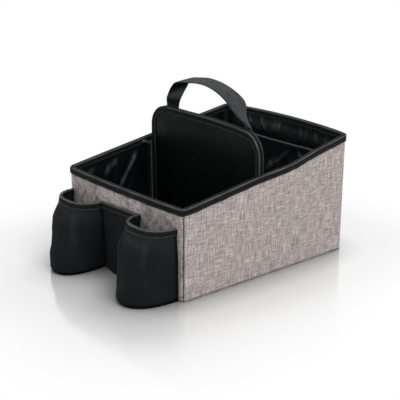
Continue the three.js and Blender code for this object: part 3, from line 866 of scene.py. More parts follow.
@dataclass(frozen=True)
class RibbedTapeFinish:
    """Ribbed sewing tape or webbing, paler under painted highlights on its folds and where it is
    rubbed.
    """

    name: str
    colour: Colour
    pale: Colour
    pitch: float
    rows: float
    relief: float
    roughness: float
    gloss: float
    fuzz: Pair = (0.6, 0.6)
    cloud: Pair = (14.0, 2.6)

    def build(self) -> Material:
        """Builds the material.

        Returns:
            The material.
        """
        shader = Shader(self.name)
        u, v = shader.cloth()
        across, rows = shader.ribs(u, self.pitch), shader.ribs(v, self.rows)
        fuzz, cloud = shader.cloud(u, v, self.fuzz), shader.cloud(u, v, self.cloud, 3.0)
        tone = shader.total((across, 0.16), (rows, 0.08), (fuzz, 0.26), (cloud, 0.50))
        colour = shader.shades(tone, self.colour, (0.34, 0.45), (0.64, 1.8))
        # Painted highlights and wear make it pale; painted shade in grooves and on the webbing's
        # inner face makes it dark.
        colour = shader.with_painted_light_and_wear(colour, self.pale, scaled(self.colour, 0.05))
        height = shader.total((shader.math("MULTIPLY", across, rows), 0.9), (fuzz, 0.4))
        return shader.finish(colour, self.roughness, height, self.relief,
                             Specular_IOR_Level=self.gloss, Sheen_Weight=0.005,
                             Sheen_Roughness=0.4)


@dataclass(frozen=True)
class NylonFinish:
    """Smooth woven nylon, with painted highlights on its folds."""

    name: str
    colour: Colour
    roughness: float
    gloss: float
    relief: float = 0.0004
    thread: float = 0.45
    crumple: Pair = (8.0, 12.0)
    cloud: Pair = (24.0, 34.0)

    def build(self) -> Material:
        """Builds the material.

        Returns:
            The material.
        """
        shader = Shader(self.name)
        u, v = shader.cloth()
        crumple = shader.cloud(u, v, self.crumple, 4.0)
        cloud = shader.cloud(u, v, self.cloud, 3.0)
        colour = shader.shades(cloud, self.colour, (0.3, 0.7), (0.7, 1.4))
        # Painted highlights on fold crests and a painted sheen lighten it up to eleven times its
        # colour.
        colour = shader.with_painted_light_and_wear(colour, scaled(self.colour, 11.0), scaled(self.colour, 0.3))
        rough = shader.math("MULTIPLY_ADD", crumple, 0.2, self.roughness - 0.1)
        height = shader.total((shader.woven(u, v, self.thread), 0.06), (crumple, 1.0))
        return shader.finish(colour, rough, height, self.relief, Specular_IOR_Level=self.gloss,
                             Sheen_Weight=0.06 * self.gloss, Sheen_Roughness=0.35)


@dataclass(frozen=True)
class KnitFinish:
    """Matte stretch knit with fine upright wales."""

    name: str
    colour: Colour
    wale: float = 0.9
    course: float = 0.7
    fuzz: Pair = (0.6, 0.6)
    cloud: Pair = (30.0, 46.0)
    relief: float = 0.0002

    def build(self) -> Material:
        """Builds the material.

        Returns:
            The material.
        """
        shader = Shader(self.name)
        u, v = shader.cloth()
        stitches = shader.math("MULTIPLY", shader.ribs(u, self.wale), shader.ribs(v, self.course))
        fuzz = shader.cloud(u, v, self.fuzz, 3.0, 0.6)
        cloud = shader.cloud(u, v, self.cloud, 3.0)
        tone = shader.total((fuzz, 0.45), (cloud, 0.55))
        colour = shader.shades(tone, self.colour, (0.34, 0.72), (0.66, 1.4))
        # Painted highlights on crease ridges and the shoulder; painted shade in crease hollows,
        # seams and at the foot.
        colour = shader.with_painted_light_and_wear(colour, scaled(self.colour, 2.4), scaled(self.colour, 0.12))
        height = shader.total((stitches, 0.8), (fuzz, 1.0))
        return shader.finish(colour, 0.85, height, self.relief, Specular_IOR_Level=0.05,
                             Sheen_Weight=0.01, Sheen_Roughness=0.4)


@dataclass(frozen=True)
class BoardFinish:
    """Grey board of pressed fibres."""

    colour: Colour = (0.26, 0.23, 0.19)
    specks_per_metre: float = 900.0
    relief: float = 0.0002

    def build(self) -> Material:
        """Builds the material.

        Returns:
            The material.
        """
        shader = Shader("grey_board")
        place = shader.node("ShaderNodeTexCoord").outputs["Object"]
        specks = shader.node("ShaderNodeTexNoise", {
            "Vector": place, "Scale": self.specks_per_metre, "Detail": 3.0}).outputs[0]
        colour = shader.shades(specks, self.colour, (0.3, 0.7), (0.7, 1.25))
        return shader.finish(colour, 0.9, specks, self.relief)


@dataclass(frozen=True)
class ThreadFinish:
    """Twisted sewing thread."""

    name: str
    colour: Colour
    twist: float = 0.35
    relief: float = 0.00005

    def build(self) -> Material:
        """Builds the material.

        Returns:
            The material.
        """
        shader = Shader(self.name)
        twist = shader.ribs(shader.math("ADD", *shader.cloth()), self.twist)
        colour = shader.shades(twist, self.colour, (0.0, 0.6), (1.0, 1.3))
        return shader.finish(colour, 0.55, twist, self.relief, Sheen_Weight=0.1)


@dataclass
class Finishes:
    """The caddy's finishes, each made once. All but the thread have their record slot's name."""

    outer_fabric: Material = field(default_factory=LinenFinish().build)
    binding_tape: Material = field(default_factory=RibbedTapeFinish(
        "charcoal_tape", (0.0075, 0.0084, 0.0080), pale=(0.112, 0.119, 0.116), pitch=0.9,
        rows=2.4, relief=0.00016, roughness=0.72, gloss=0.05).build)
    webbing: Material = field(default_factory=RibbedTapeFinish(
        "dark_webbing", (0.0385, 0.0415, 0.0425), pale=(0.080, 0.085, 0.085), pitch=1.5,
        rows=3.6, relief=0.00045, roughness=0.7, gloss=0.07).build)
    lining: Material = field(default_factory=NylonFinish(
        "black_lining", (0.0022, 0.0029, 0.0034), roughness=0.38, gloss=0.28).build)
    divider_fabric: Material = field(default_factory=NylonFinish(
        "divider_cloth", (0.0015, 0.0020, 0.0019), roughness=0.48, gloss=0.07,
        relief=0.0002).build)
    pocket_fabric: Material = field(default_factory=KnitFinish(
        "stretch_knit", (0.0098, 0.0104, 0.0118)).build)
    board: Material = field(default_factory=BoardFinish().build)
    dark_thread: Material = field(default_factory=ThreadFinish(
        "dark_thread", (0.024, 0.025, 0.025)).build)


# Sewing


@dataclass(frozen=True)
class Stitching:
    """A row of machine stitches along a line."""

    length: float = 2.5
    gap: float = 0.7
    radius: float = 0.26

    def template(self) -> tuple[Grid, list]:
        """One stitch along x, half sunk at both ends.

        Returns:
            Its points and faces.
        """
        along, size, sink = np.array([
            (-0.5, 0.35, -1.1), (-0.36, 0.85, -0.2), (-0.12, 1.0, 0.25),
            (0.12, 1.0, 0.25), (0.36, 0.85, -0.2), (0.5, 0.35, -1.1)]).T[..., None]
        angle = np.arange(6)[None, :] * math.tau / 6.0
        rings = np.stack(np.broadcast_arrays(
            along * self.length, np.cos(angle) * size * self.radius,
            (np.sin(angle) * size + sink) * self.radius), -1)
        index = np.arange(36).reshape(6, 6)
        faces, _ = grid_faces(index, np.zeros((6, 7, 2)), (False, True))
        return rings.reshape(-1, 3), faces + [index[0].tolist()[::-1], index[-1].tolist()]

    def row(self, name: str, lines: list[tuple[Grid, Grid]]) -> Piece:
        """Stitches along lines.

        Args:
            name: Name of the piece.
            lines: Points of each line and the cloth's normals there, in metres.

        Returns:
            The stitches as one object.
        """
        shape, pattern = self.template()
        pitch = (self.length + self.gap) * MM
        rows = []
        for line, normals in lines:
            run = run_along(line)
            number = max(1, int(run[-1] / pitch))
            at = (np.arange(number) + 0.5) * run[-1] / number
            ahead, behind = (sampled(at + way * pitch, run, line) for way in (0.3, -0.3))
            along = unit(ahead - behind)
            aside = unit(np.cross(sampled(at, run, normals), along))
            up = np.cross(along, aside)
            made = (shape[None, :, 0:1] * along[:, None] + shape[None, :, 1:2] * aside[:, None]
                    + shape[None, :, 2:3] * up[:, None])
            rows.append((sampled(at, run, line)[:, None] + MM * made).reshape(-1, 3))
        points = np.concatenate(rows)
        faces = [[number + first for number in face]
                 for first in range(0, len(points), len(shape)) for face in pattern]
        corners = points[[number for face in faces for number in face]][:, [0, 2]] / MM
        return make_object(name, points, faces, corners, flat_angle=60.0)


@dataclass
class FoldedTape:
    """A tape folded over an edge, with a stitched groove near the end of each leg.

    Its closed profile goes across from the first leg's inner face, and up from the tape's top.
    The folds at the top can stand proud by a lip, as piped edges.
    """

    form: BoxForm
    clear: float
    legs: Pair = (LEG, LEG)
    lip: float = 0.0
    across: Grid = field(init=False)
    up: Grid = field(init=False)
    wear: Grid = field(init=False)
    around: Grid = field(init=False)

    def __post_init__(self) -> None:
        """Draws the profile, its painted highlights and painted shade with some wear, and the
        length round it.
        """
        tape, clear, lip = self.form.tape, self.clear, self.lip
        outer = []
        for leg, face, way in ((self.legs[0], -tape, -1.0), (self.legs[1], clear + tape, 1.0)):
            # Each point: out, up, and painted light: pale on the folds, piped edges and leg ends as
            # painted highlight with some wear, dark in the stitched groove as painted shade.
            half = [(0.0, -leg, 0.25), (0.10, -leg + 0.5, 0.3), (0.12, -leg + 1.2, 0.0),
                    (-0.22, -leg + GROOVE, -0.7), (0.14, -leg + 2.5, 0.0), (0.22, -leg * 0.5, 0.0),
                    (0.20 + lip, -2.6, 0.0), (0.12 + lip, -1.3, 0.2),
                    (-0.35 + 0.6 * lip, -0.45, 0.8), (-1.0, 0.0, 0.6), (-1.8, -0.1, -0.1)]
            side = [(face + way * out, up, wear) for out, up, wear in half]
            outer += side if way < 0 else side[::-1]
        # The middle of the top is darkened as painted shade between the two folds.
        outer.insert(11, (clear / 2.0, -0.2 - 0.8 * lip, -0.4))
        inner = [(clear, -self.legs[1] + 0.1), (clear, -self.legs[1] * 0.5), (clear, -1.6),
                 (clear - 0.5, -tape), (clear / 2.0, -tape - 0.3), (0.5, -tape), (0.0, -1.6),
                 (0.0, -self.legs[0] * 0.5), (0.0, -self.legs[0] + 0.1)]
        whole = np.array(outer + [(across, up, 0.0) for across, up in inner])
        self.across, self.up, self.wear = whole.T[:, None]
        self.around = run_along(closed(whole[:, :2]))


@dataclass
class Sewn:
    """What every sewn sub-assembly is made from, and how its pieces are made and dressed."""

    form: BoxForm
    finishes: Finishes

    def dress(self, piece: Piece, slot: str, node: str = "", finish: str = "") -> None:
        """Gives a piece of the caddy's body its finish and its place in the frame.

        Args:
            piece: The piece.
            slot: The record's material slot.
            node: The CAD node that it stands for, if any.
            finish: Its finish, if it isn't the slot's own.
        """
        piece.data.materials.append(getattr(self.finishes, finish or slot))
        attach(piece, "caddy")
        if node:
            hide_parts(node)
        log.info("%s: %d faces", piece.name, len(piece.data.polygons))

    def swept(self, name: str, points: Grid, cloth: Grid, wrap: Wraps, is_capped: bool = False,
              wear: Grid | None = None) -> Piece:
        """A mesh from a grid of points, such as a profile swept through rings.

        Args:
            name: Name of the piece.
            points: Rings of points.
            cloth: Cloth coordinates, with one more row or column where the grid closes.
            wrap: Whether the rings and the profile close on themselves.
            is_capped: Whether the first and last ring are filled.
            wear: Painted highlights and painted shade, with some wear, in a shape that spreads over
                the points.

        Returns:
            The object, which isn't dressed yet.
        """
        index = np.arange(points[..., 0].size).reshape(points.shape[:2])
        faces, corners = grid_faces(index, cloth, wrap)
        if is_capped:
            faces += [index[0].tolist(), index[-1].tolist()]
            corners = np.concatenate([corners, np.zeros((2 * index.shape[1], 2))])
        if wear is not None:
            wear = np.broadcast_to(wear, index.shape)
        return make_object(name, self.form.world(points), faces, corners, wear)

    def shell(self, name: str, slot: str, node: str, outside: Grid, inside: Grid, cloth: Grid,
              wear: Grid | None = None) -> Piece:
        """A dressed sheet, closed between two equal grids of points.

        Args:
            name: Name of the piece.
            slot: The record's material slot.
            node: The CAD node that it stands for.
            outside: One face's points.
            inside: The other face's points.
            cloth: Cloth coordinates of the points.
            wear: Painted highlights and painted shade, with some wear, in a shape that spreads over
                the points.

        Returns:
            The object.
        """
        count = outside[..., 0].size
        outer = np.arange(count).reshape(outside.shape[:2])
        faces, corners = grid_faces(outer, cloth)
        more, more_corners = grid_faces(outer + count, cloth)
        rim, rim_cloth = (np.concatenate([grid[0], grid[1:, -1], grid[-1, -2::-1],
                                          grid[-2:0:-1, 0]]) for grid in (outer, cloth))
        following, following_cloth = np.roll(rim, -1), np.roll(rim_cloth, -1, 0)
        edge = np.stack([rim, following, following + count, rim + count], -1)
        edge_corners = np.stack([rim_cloth, following_cloth, following_cloth, rim_cloth], 1)
        corners = np.concatenate([corners, more_corners, edge_corners.reshape(-1, 2)])
        points = self.form.world(np.concatenate([outside.reshape(-1, 3), inside.reshape(-1, 3)]))
        if wear is not None:
            wear = np.broadcast_to(wear, (2, *outer.shape))
        piece = make_object(name, points, faces + more + edge.tolist(), corners, wear)
        self.dress(piece, slot, node)
        return piece

    def folded(self, name: str, node: str, tape: FoldedTape, points: Grid, run: Grid,
               painted_light_and_rub: Grid | float) -> None:
        """A folded tape along a run, filled at both ends.

        Args:
            name: Name of the piece.
            node: The CAD node that it stands for.
            tape: The tape.
            points: A row of points for each place of the run.
            run: Length along the tape.
            painted_light_and_rub: Share of the tape's painted highlights and painted shade, with
                its wear, at each place, or everywhere.
        """
        cloth = laid(run[:, None], tape.around[None, :])
        # The profile's painted highlights and painted shade, scaled along the tape.
        wear = tape.wear * np.reshape(painted_light_and_rub, (-1, 1))
        piece = self.swept(name, points, cloth, (False, True), True, wear)
        self.dress(piece, "binding_tape", node)

    def stitch(self, name: str, slot: str, lines: list[tuple[Grid, Grid | Place]],
               stitching: Stitching = Stitching()) -> None:
        """Rows of stitches in dark thread.

        Args:
            name: Name of the piece.
            slot: The record's material slot of the cloth that they hold.
            lines: Points of each line, and the cloth's normals there or the same one for all.
            stitching: Size of the stitches.
        """
        lines = [(self.form.world(line), np.broadcast_to(normal, line.shape))
                 for line, normal in lines]
        self.dress(stitching.row(name, lines), slot, finish="dark_thread")


# Sub-assemblies


@dataclass
class OuterShell(Sewn):
    """The grey fabric outside: four walls and a floor, sewn at the corners and along the foot."""

    thickness: float = 0.7
    step: float = 3.5
    corner_steps: int = 7
    rows: int = 44
    foot: float = 0.5
    below_rim: float = 1.4
    seam_turn: Ridge = Ridge(1.5, 0.0, 1.3)
    foot_turn: Ridge = Ridge(0.9, 0.5, 1.6)
    seam_shade: Ridge = Ridge(0.9, 0.0, 1.0)
    foot_shade: Ridge = Ridge(0.5, 0.5, 1.0)
    pucker: Ridge = Ridge(0.28, 13.0, 7.0)
    swell: float = 0.3
    deepest: float = 1.2
    mottle: float = 0.42
    floor_levels: tuple[Pair, ...] = (
        (0.0, 0.45), (0.5, 0.3), (0.8, 0.2), (0.97, 0.05), (0.993, 0.0), (1.0, 0.35), (1.0, 0.8),
        (0.99, 1.0), (0.5, 0.95), (0.0, 0.95))
    thread: float = 0.42

    def wall_cloth(self, side: Side) -> None:
        """One wall of fabric.

        Args:
            side: The wall.
        """
        form = self.form
        run = form.wall_run(side, self.step, self.corner_steps)
        share = np.linspace(0.0, 1.0, self.rows)[:, None] ** 1.25
        z = mix(self.foot, (form.rim(run) - self.below_rim)[None, :], share)
        u = np.broadcast_to(run.run, z.shape)
        turned = self.seam_turn.at(run.from_ends) + self.foot_turn.at(z)
        slack = self.swell * (drift(u, z, 58.0, 3) + 0.5 * drift(u, z, 21.0, 4))
        pucker = self.pucker.at(form.rim(run)[None, :] - z) * drift(u, z * 0.3, 11.0, 5)
        calm = smoothstep(run.from_ends, 0.0, 14.0)
        inset = turned - (np.maximum(slack, -0.15) + 0.15 + pucker) * calm
        inset = np.minimum(inset, self.deepest)
        outside = form.points(run, z, inset)
        inside = form.points(run, z, inset + self.thickness * (1.0 - 0.75 * (turned > 0.35)))
        # Painted shade darkens the corner seams and the foot.
        wear = -self.seam_shade.at(run.from_ends) - self.foot_shade.at(z)
        if side is Side.FRONT:
            # Random mottle on the front wall, which also darkens it a little all over as painted
            # shade.
            blotches = drift(u, z, 9.0, 6, 24) + 0.7 * drift(u, z, 26.0, 7)
            wear = wear + self.mottle * (blotches - 0.1)
        name = f"outer_{side.value}"
        piece = self.shell(f"{name}_fabric", "outer_fabric", name, outside, inside, laid(u, z),
                           wear)
        length, tall, tallest = form.flat_size(side)

    def floor_cloth(self) -> None:
        """The fabric under the floor."""
        form = self.form
        radius = form.corner - 0.2
        corners = []
        for index, (x, y) in enumerate([(1, 1), (-1, 1), (-1, 0), (1, 0)]):
            centre = np.array([x * (form.half - form.corner),
                               form.depth - form.corner if y else form.corner])
            angle = math.radians(90.0 * index) + np.linspace(0.0, math.pi / 2.0, 7)
            corners.append(centre + radius * np.stack([np.cos(angle), np.sin(angle)], -1))
        middle = np.array([0.0, form.depth / 2.0])
        rings, cloth = stacked_rings(np.concatenate(corners), middle, self.floor_levels)
        piece = self.swept("outer_floor_fabric", rings, cloth, (False, True))
        self.dress(piece, "outer_fabric", "outer_floor")

    def seam_threads(self) -> None:
        """Dark thread in the seams: up the corners and round the foot."""
        form = self.form
        lines = []
        for side in Side:
            run = form.wall_run(side, self.step, self.corner_steps).part(slice(0, 1))
            z = np.linspace(1.0, float(form.rim(run)[0]) - 10.0, 60)[:, None]
            lines.append(form.world(form.points(run, z, 0.85))[:, 0])
        ring = form.ring(3.0)
        foot = form.points(ring, np.full((1, len(ring.run)), 1.3), 0.55)[0]
        lines.append(form.world(closed(foot)))
        rings, faces, corners, count = [], [], [], 0
        angle = (np.arange(7) * math.tau / 7.0)[None, :, None]
        for line in lines:
            along = unit(np.gradient(line, axis=0))
            helper = np.where(np.abs(along[:, 2:3]) > 0.7, [[1.0, 0.3, 0.0]], [[0.0, 0.0, 1.0]])
            aside = unit(np.cross(along, helper))
            up = np.cross(along, aside)
            tube = line[:, None] + self.thread * MM * (np.cos(angle) * aside[:, None]
                                                       + np.sin(angle) * up[:, None])
            index = np.arange(len(line) * 7).reshape(-1, 7) + count
            cloth = laid(np.arange(len(line))[:, None] * 3.0, np.arange(8)[None, :] * 0.3)
            more, more_corners = grid_faces(index, cloth, (False, True))
            faces += more + [index[0].tolist(), index[-1].tolist()]
            corners += [more_corners, np.zeros((14, 2))]
            rings.append(tube.reshape(-1, 3))
            count += index.size
        piece = make_object("seam_threads", np.concatenate(rings), faces,
                            np.concatenate(corners), flat_angle=80.0)
        self.dress(piece, "binding_tape", finish="dark_thread")

    def build(self) -> None:
        """Makes every piece of the outside."""
        for side in Side:
            self.wall_cloth(side)
        self.floor_cloth()
        self.seam_threads()


@dataclass(frozen=True)
class Hang:
    """How one wall's lining hangs.

    It has shares of the settling and of the painted highlight on its folds, its slack, the painted
    sheen that it has all over, and its own creases: place along, top, place of the foot, its
    height, crease height and half width. The places along count from a given distance along the
    wall.
    """

    settled: float = 1.0
    slack: float = 0.7
    shine: float = 1.0
    glow: float = 0.0
    origin: float = 0.0
    creases: tuple[tuple[float, ...], ...] = ()


@dataclass
class Lining(Sewn):
    """The shiny black lining, which hangs a little loose in the box."""

    thickness: float = 0.3
    step: float = 2.0
    rows: int = 67
    loose: float = 4.2
    # Fold height at which the painted highlight on a crest is full.
    shine: float = 3.6
    divider_left: float = 148.0
    divider_right: float = 132.0
    rear_pocket_top: float = 138.0
    floor_gap: float = 4.6
    tape_reach: float = 7.0
    tape_ridge: Ridge = Ridge(1.0, 0.0, 0.16)
    settling: Settling = Settling(frames=22, spare=0.05, stiffness=9.0, bending=0.12,
                                  gravity=0.25, most=4.0)
    # The back wall's lining has a painted sheen all over its free part.
    back: Hang = Hang(0.3, 0.25, 1.0, 0.40, 0.0, tuple(
        (place, 168.0, place + lean, 142.0, height, 2.4) for place, lean, height in (
            (34.0, 3.0, 2.4), (58.0, -3.0, 3.0), (74.0, 3.0, 2.4), (88.0, -2.0, 2.8),
            (128.0, 5.0, 5.0), (141.0, -3.0, 2.6), (166.0, 6.0, 2.4), (196.0, -5.0, 3.0))))
    # The left wall's lining has weaker painted highlights on its folds.
    left: Hang = Hang(shine=0.35, origin=296.0, creases=(
        (-122.0, 132.0, -78.0, 66.0, 4.6, 2.6), (-84.0, 124.0, -54.0, 92.0, 2.2, 5.0),
        (-44.0, 118.0, -24.0, 92.0, 1.6, 5.0)))

    def freedom(self, side: Side, run: Stations, z: Grid) -> Grid:
        """How free the cloth is, 0 at the seams, tapes and divider to 1.

        Args:
            side: The wall.
            run: Places along it.
            z: Heights, in rows over the places.

        Returns:
            The freedom of each point.
        """
        form = self.form
        free = smoothstep(z, form.floor_top + 1.0, form.floor_top + 16.0)
        free = smoothstep(run.from_ends, 9.0, 26.0) * free
        free = free * (1.0 - smoothstep(z - form.rim(run)[None, :], -26.0, -9.5))
        if side in (Side.LEFT, Side.RIGHT):
            meets = self.divider_left if side is Side.LEFT else self.divider_right
            free = free * smoothstep(np.abs(run.place[:, 1] - meets)[None, :], 13.0, 30.0)
        if side is Side.BACK:
            free = free * smoothstep(z, self.rear_pocket_top + 1.0, self.rear_pocket_top + 9.0)
        return free

    def folds(self, side: Side, hang: Hang) -> list[Fold]:
        """The creases of one wall's lining.

        Args:
            side: The wall.
            hang: How it hangs.

        Returns:
            The creases, along the wall's run and up.
        """
        form = self.form
        start, length = form.before(side), form.side(side).length
        tall = form.front_height if side is Side.FRONT else form.back_height
        found = scattered_folds(11 + list(Side).index(side), 16,
                                (start + 18.0, start + length - 18.0), (34.0, tall), 2.6, 34.0)
        start += hang.origin
        return found + [Fold((start + top, high), (start + foot, low), height, half_width)
                        for top, high, foot, low, height, half_width in hang.creases]

    def wall_cloth(self, side: Side) -> None:
        """One wall of lining.

        Args:
            side: The wall.
        """
        form = self.form
        hang = {Side.BACK: self.back, Side.LEFT: self.left}.get(side, Hang())
        run = form.wall_run(side, self.step, 4)
        share = np.linspace(0.0, 1.0, self.rows)[:, None]
        z = mix(form.floor_top - 0.5, (form.rim(run) - 1.6)[None, :], share)
        u = np.broadcast_to(run.run, z.shape)
        free = self.freedom(side, run, z)
        flat = form.points(run, z, form.wall - self.thickness)
        inward = unit(form.points(run, z, form.wall + 1.0) - form.points(run, z, form.wall))
        rows, columns = every_other(z.shape[0]), every_other(z.shape[1])
        coarse = np.ix_(rows, columns)
        settled = self.settling.run(flat[coarse] * MM, 1.0 - free[coarse], inward[coarse]) / MM
        sag = filled_in(np.sum((settled - flat[coarse]) * inward[coarse], -1), rows, columns)
        folded = sum(fold.heights(u, z) for fold in self.folds(side, hang))
        soft = hang.slack * (drift(u, z, 44.0, 41) + 1.0)
        depth = self.loose * np.tanh((folded + soft) * free / self.loose)
        # Painted highlights on the fold crests, and for the back wall a painted sheen all over its
        # free part.
        wear = hang.shine * np.minimum((folded * free / self.shine) ** 2, 1.0) + hang.glow * free
        inside = flat + inward * (sag * hang.settled + depth)[..., None]
        outside = inside - inward * self.thickness
        name = f"lining_{side.value}"
        piece = self.shell(f"{name}_cloth", "lining", name, outside, inside, laid(u, z), wear)
        length, tall, tallest = form.flat_size(side)

    def floor_cloth(self) -> None:
        """The lining over the floor board, a little creased, with rounded corners."""
        form, gap = self.form, self.floor_gap
        x, y = np.meshgrid(np.linspace(-form.half + gap, form.half - gap, 60),
                           np.linspace(gap, form.depth - gap, 70))
        inner, middle = form.corner - gap, form.depth / 2.0
        over_x = np.maximum(0.0, np.abs(x) - (form.half - gap - inner))
        over_y = np.maximum(0.0, np.abs(y - middle) - (middle - gap - inner))
        reach = np.hypot(over_x, over_y)
        pull = np.where(reach > inner, inner / np.maximum(reach, 1e-6), 1.0)
        x = x - np.sign(x) * over_x * (1.0 - pull)
        y = y - np.sign(y - middle) * over_y * (1.0 - pull)
        edge = np.minimum(form.half - np.abs(x), np.minimum(y, form.depth - y))
        crease = 0.55 * (drift(x, y, 46.0, 61) + 1.0)
        z = form.floor_top - 0.3 + crease * smoothstep(edge, 5.0, 24.0)
        top, under = (np.stack([x, y, z - down], -1) for down in (0.0, self.thickness * 0.8))
        piece = self.shell("lining_floor_cloth", "lining", "lining_floor", top, under, laid(x, y))

    def corner_tape(self, name: str, side: Side) -> None:
        """The tape over the lining's seam in one inner corner.

        Args:
            name: Name of the corner.
            side: The wall before the corner.
        """
        form = self.form
        order = list(Side)
        after = order[(order.index(side) + 1) % 4]
        reach = np.linspace(4.0, 0.0, 4)
        run = form.stations(side, form.side(side).length - form.corner - reach)
        run = run.joined(form.corner_stations(side, 1, 4), form.corner_stations(after, -1, 4),
                         form.stations(after, form.corner + reach[::-1]))
        share = np.linspace(0.0, 1.0, 40)[:, None]
        z = mix(form.floor_top + 0.3, (form.rim(run) - 8.9)[None, :], share)
        across = np.linspace(-1.0, 1.0, len(run.run))[None, :]
        wave = 0.25 * drift(40.0 * across, z, 17.0, 71)
        ridge = self.tape_ridge.at(across)
        raised = 0.7 - 0.45 * np.abs(across) ** 6 + 0.12 * wave + 0.7 * ridge
        outside, inside = (form.points(run, z, form.wall + form.fit + depth)
                           for depth in (0.0, raised))
        # A painted highlight along the tape's middle ridge, fading lower in the box.
        self.shell(f"corner_tape_{name}", "binding_tape", f"corner_binding_{name}", outside, inside,
                   laid(z, across * self.tape_reach), 0.95 * ridge * smoothstep(z, 90.0, 150.0))

    def build(self) -> None:
        """Makes every piece of the lining."""
        for side in Side:
            self.wall_cloth(side)
        self.floor_cloth()
        for name, side in (("front_right", Side.FRONT), ("back_right", Side.RIGHT),
                           ("back_left", Side.BACK), ("front_left", Side.LEFT)):
            self.corner_tape(name, side)


@dataclass
class RimTape(Sewn):
    """The charcoal tape folded over the rim, one loop with a stitched groove on both sides."""

    legs: Pair = (LEG, 8.5)
    lip: float = 0.1
    step: float = 2.5
    corner_pinch: Ridge = Ridge(0.35, 0.5, 0.22)

    def section(self, ring: Stations, tape: FoldedTape) -> tuple[Grid, Grid]:
        """The tape's insets and heights at every station.

        Args:
            ring: Places round the rim.
            tape: The folded tape.

        Returns:
            Inset and height, a row for each point of the profile and a column for each station.
        """
        form = self.form
        across, up, run = tape.across.T, tape.up.T, ring.run[None, :]
        low = smoothstep(-up, 1.5, 8.5)
        wavy = 0.32 * drift(run, 0.0, 23.0, 81) + 0.2 * drift(run, 0.0, 8.0, 82)
        is_outside = across < form.wall / 2.0
        lift = np.where(is_outside, 0.22, 0.16) * (drift(run, up, 13.0, 83) + 0.6) * low
        pinch = self.corner_pinch.at(np.abs(ring.out[:, 0] * ring.out[:, 1]))[None, :]
        pinch = pinch * np.sin(run * 2.6) * smoothstep(-up, 0.6, 4.0)
        lift = np.maximum(lift + np.where(is_outside, pinch, 0.0), -0.15)
        inset = across - form.fit + np.where(is_outside, -lift, lift)
        return inset, form.rim(ring)[None, :] + up + wavy * low * 0.8

    def build(self) -> None:
        """Makes the tape and its two rows of stitches."""
        form = self.form
        ring = form.ring(self.step)
        tape = FoldedTape(form, form.wall + 2.0 * form.fit, self.legs, self.lip)
        inset, height = self.section(ring, tape)
        run = np.append(ring.run, ring.run[0] + 2.0 * (form.width + form.depth))
        # The profile's painted highlights and painted shade, with some wear, vary along the rim.
        painted_light_and_rub = tape.wear.T * (1.0 + 0.35 * drift(ring.run, 0.0, 31.0, 84))[None, :]
        piece = self.swept("rim_tape", form.points(ring, height, inset),
                           laid(run[None, :], tape.around[:, None]), (True, True), wear=painted_light_and_rub)
        self.dress(piece, "binding_tape", "rim_binding")
        lines = []
        for leg, face, way in ((self.legs[0], -form.fit - form.tape, -1.0),
                               (self.legs[1], form.wall + form.fit + form.tape, 1.0)):
            z = (form.rim(ring) - leg + GROOVE)[None, :]
            line = form.points(ring, z, face - way * 0.1)[0]
            normal = np.column_stack([-way * ring.out, np.zeros(len(line))])
            lines.append((closed(line), closed(normal)))
        self.stitch("rim_stitches", "binding_tape", lines)


@dataclass
class DividerForm:
    """The divider's outline and its bend in plan."""

    form: BoxForm
    height: float = 194.5
    corner: float = 32.0
    forward_bend: float = 16.0
    softness: float = 0.35
    face: float = 3.0
    core_face: float = 1.3
    leg: float = LEG

    @property
    def edge_inset(self) -> float:
        """From the outer fabric's face to the divider's end."""
        return self.form.wall + 2.0 * self.form.fit + self.form.tape

    @property
    def half(self) -> float:
        """Half the divider's width at the floor."""
        return self.form.half - self.edge_inset

    def centre(self, x: Grid | float) -> Grid:
        """The divider's middle plane in plan: straight on the left, forward on the right.

        Args:
            x: Places across the box.

        Returns:
            Its y there.
        """
        share = np.clip(np.asarray(x, float) / self.form.half, 0.0, 1.0)
        rise = np.hypot(share, self.softness) - self.softness
        full = math.hypot(1.0, self.softness) - self.softness
        return self.form.depth / 2.0 - self.forward_bend * rise / full

    def distance(self, side: Side) -> float:
        """The divider's place along the left or right wall."""
        meets = float(self.centre(-self.form.half if side is Side.LEFT else self.form.half))
        return self.form.depth - meets if side is Side.LEFT else meets

    def points(self, across: Grid, z: Grid, offset: Grid | float) -> Grid:
        """Points of the divider.

        Args:
            across: Place from -1 at the left wall to 1 at the right wall.
            z: Heights.
            offset: Distance behind the middle plane.

        Returns:
            The points in millimetres.
        """
        across, z, offset = np.broadcast_arrays(across, z, offset)
        ends = []
        for side in (Side.LEFT, Side.RIGHT):
            run = self.form.stations(side, np.full(z.size, self.distance(side)))
            ends.append(self.form.points(run, z.ravel(), self.edge_inset)[:, 0].reshape(z.shape))
        x = mix(ends[0], ends[1], (across + 1.0) / 2.0)
        return np.stack([x, self.centre(x) + offset, z], -1)

    def top(self, from_middle: Grid, inset: float) -> Grid:
        """Height of the rounded outline.

        Args:
            from_middle: Places across, from the middle.
            inset: How far the outline is drawn in.

        Returns:
            The heights.
        """
        into = np.maximum(0.0, np.abs(from_middle) - (self.half - self.corner))
        radius = self.corner - inset
        return self.height - self.corner + np.sqrt(np.maximum(0.0, radius * radius - into * into))


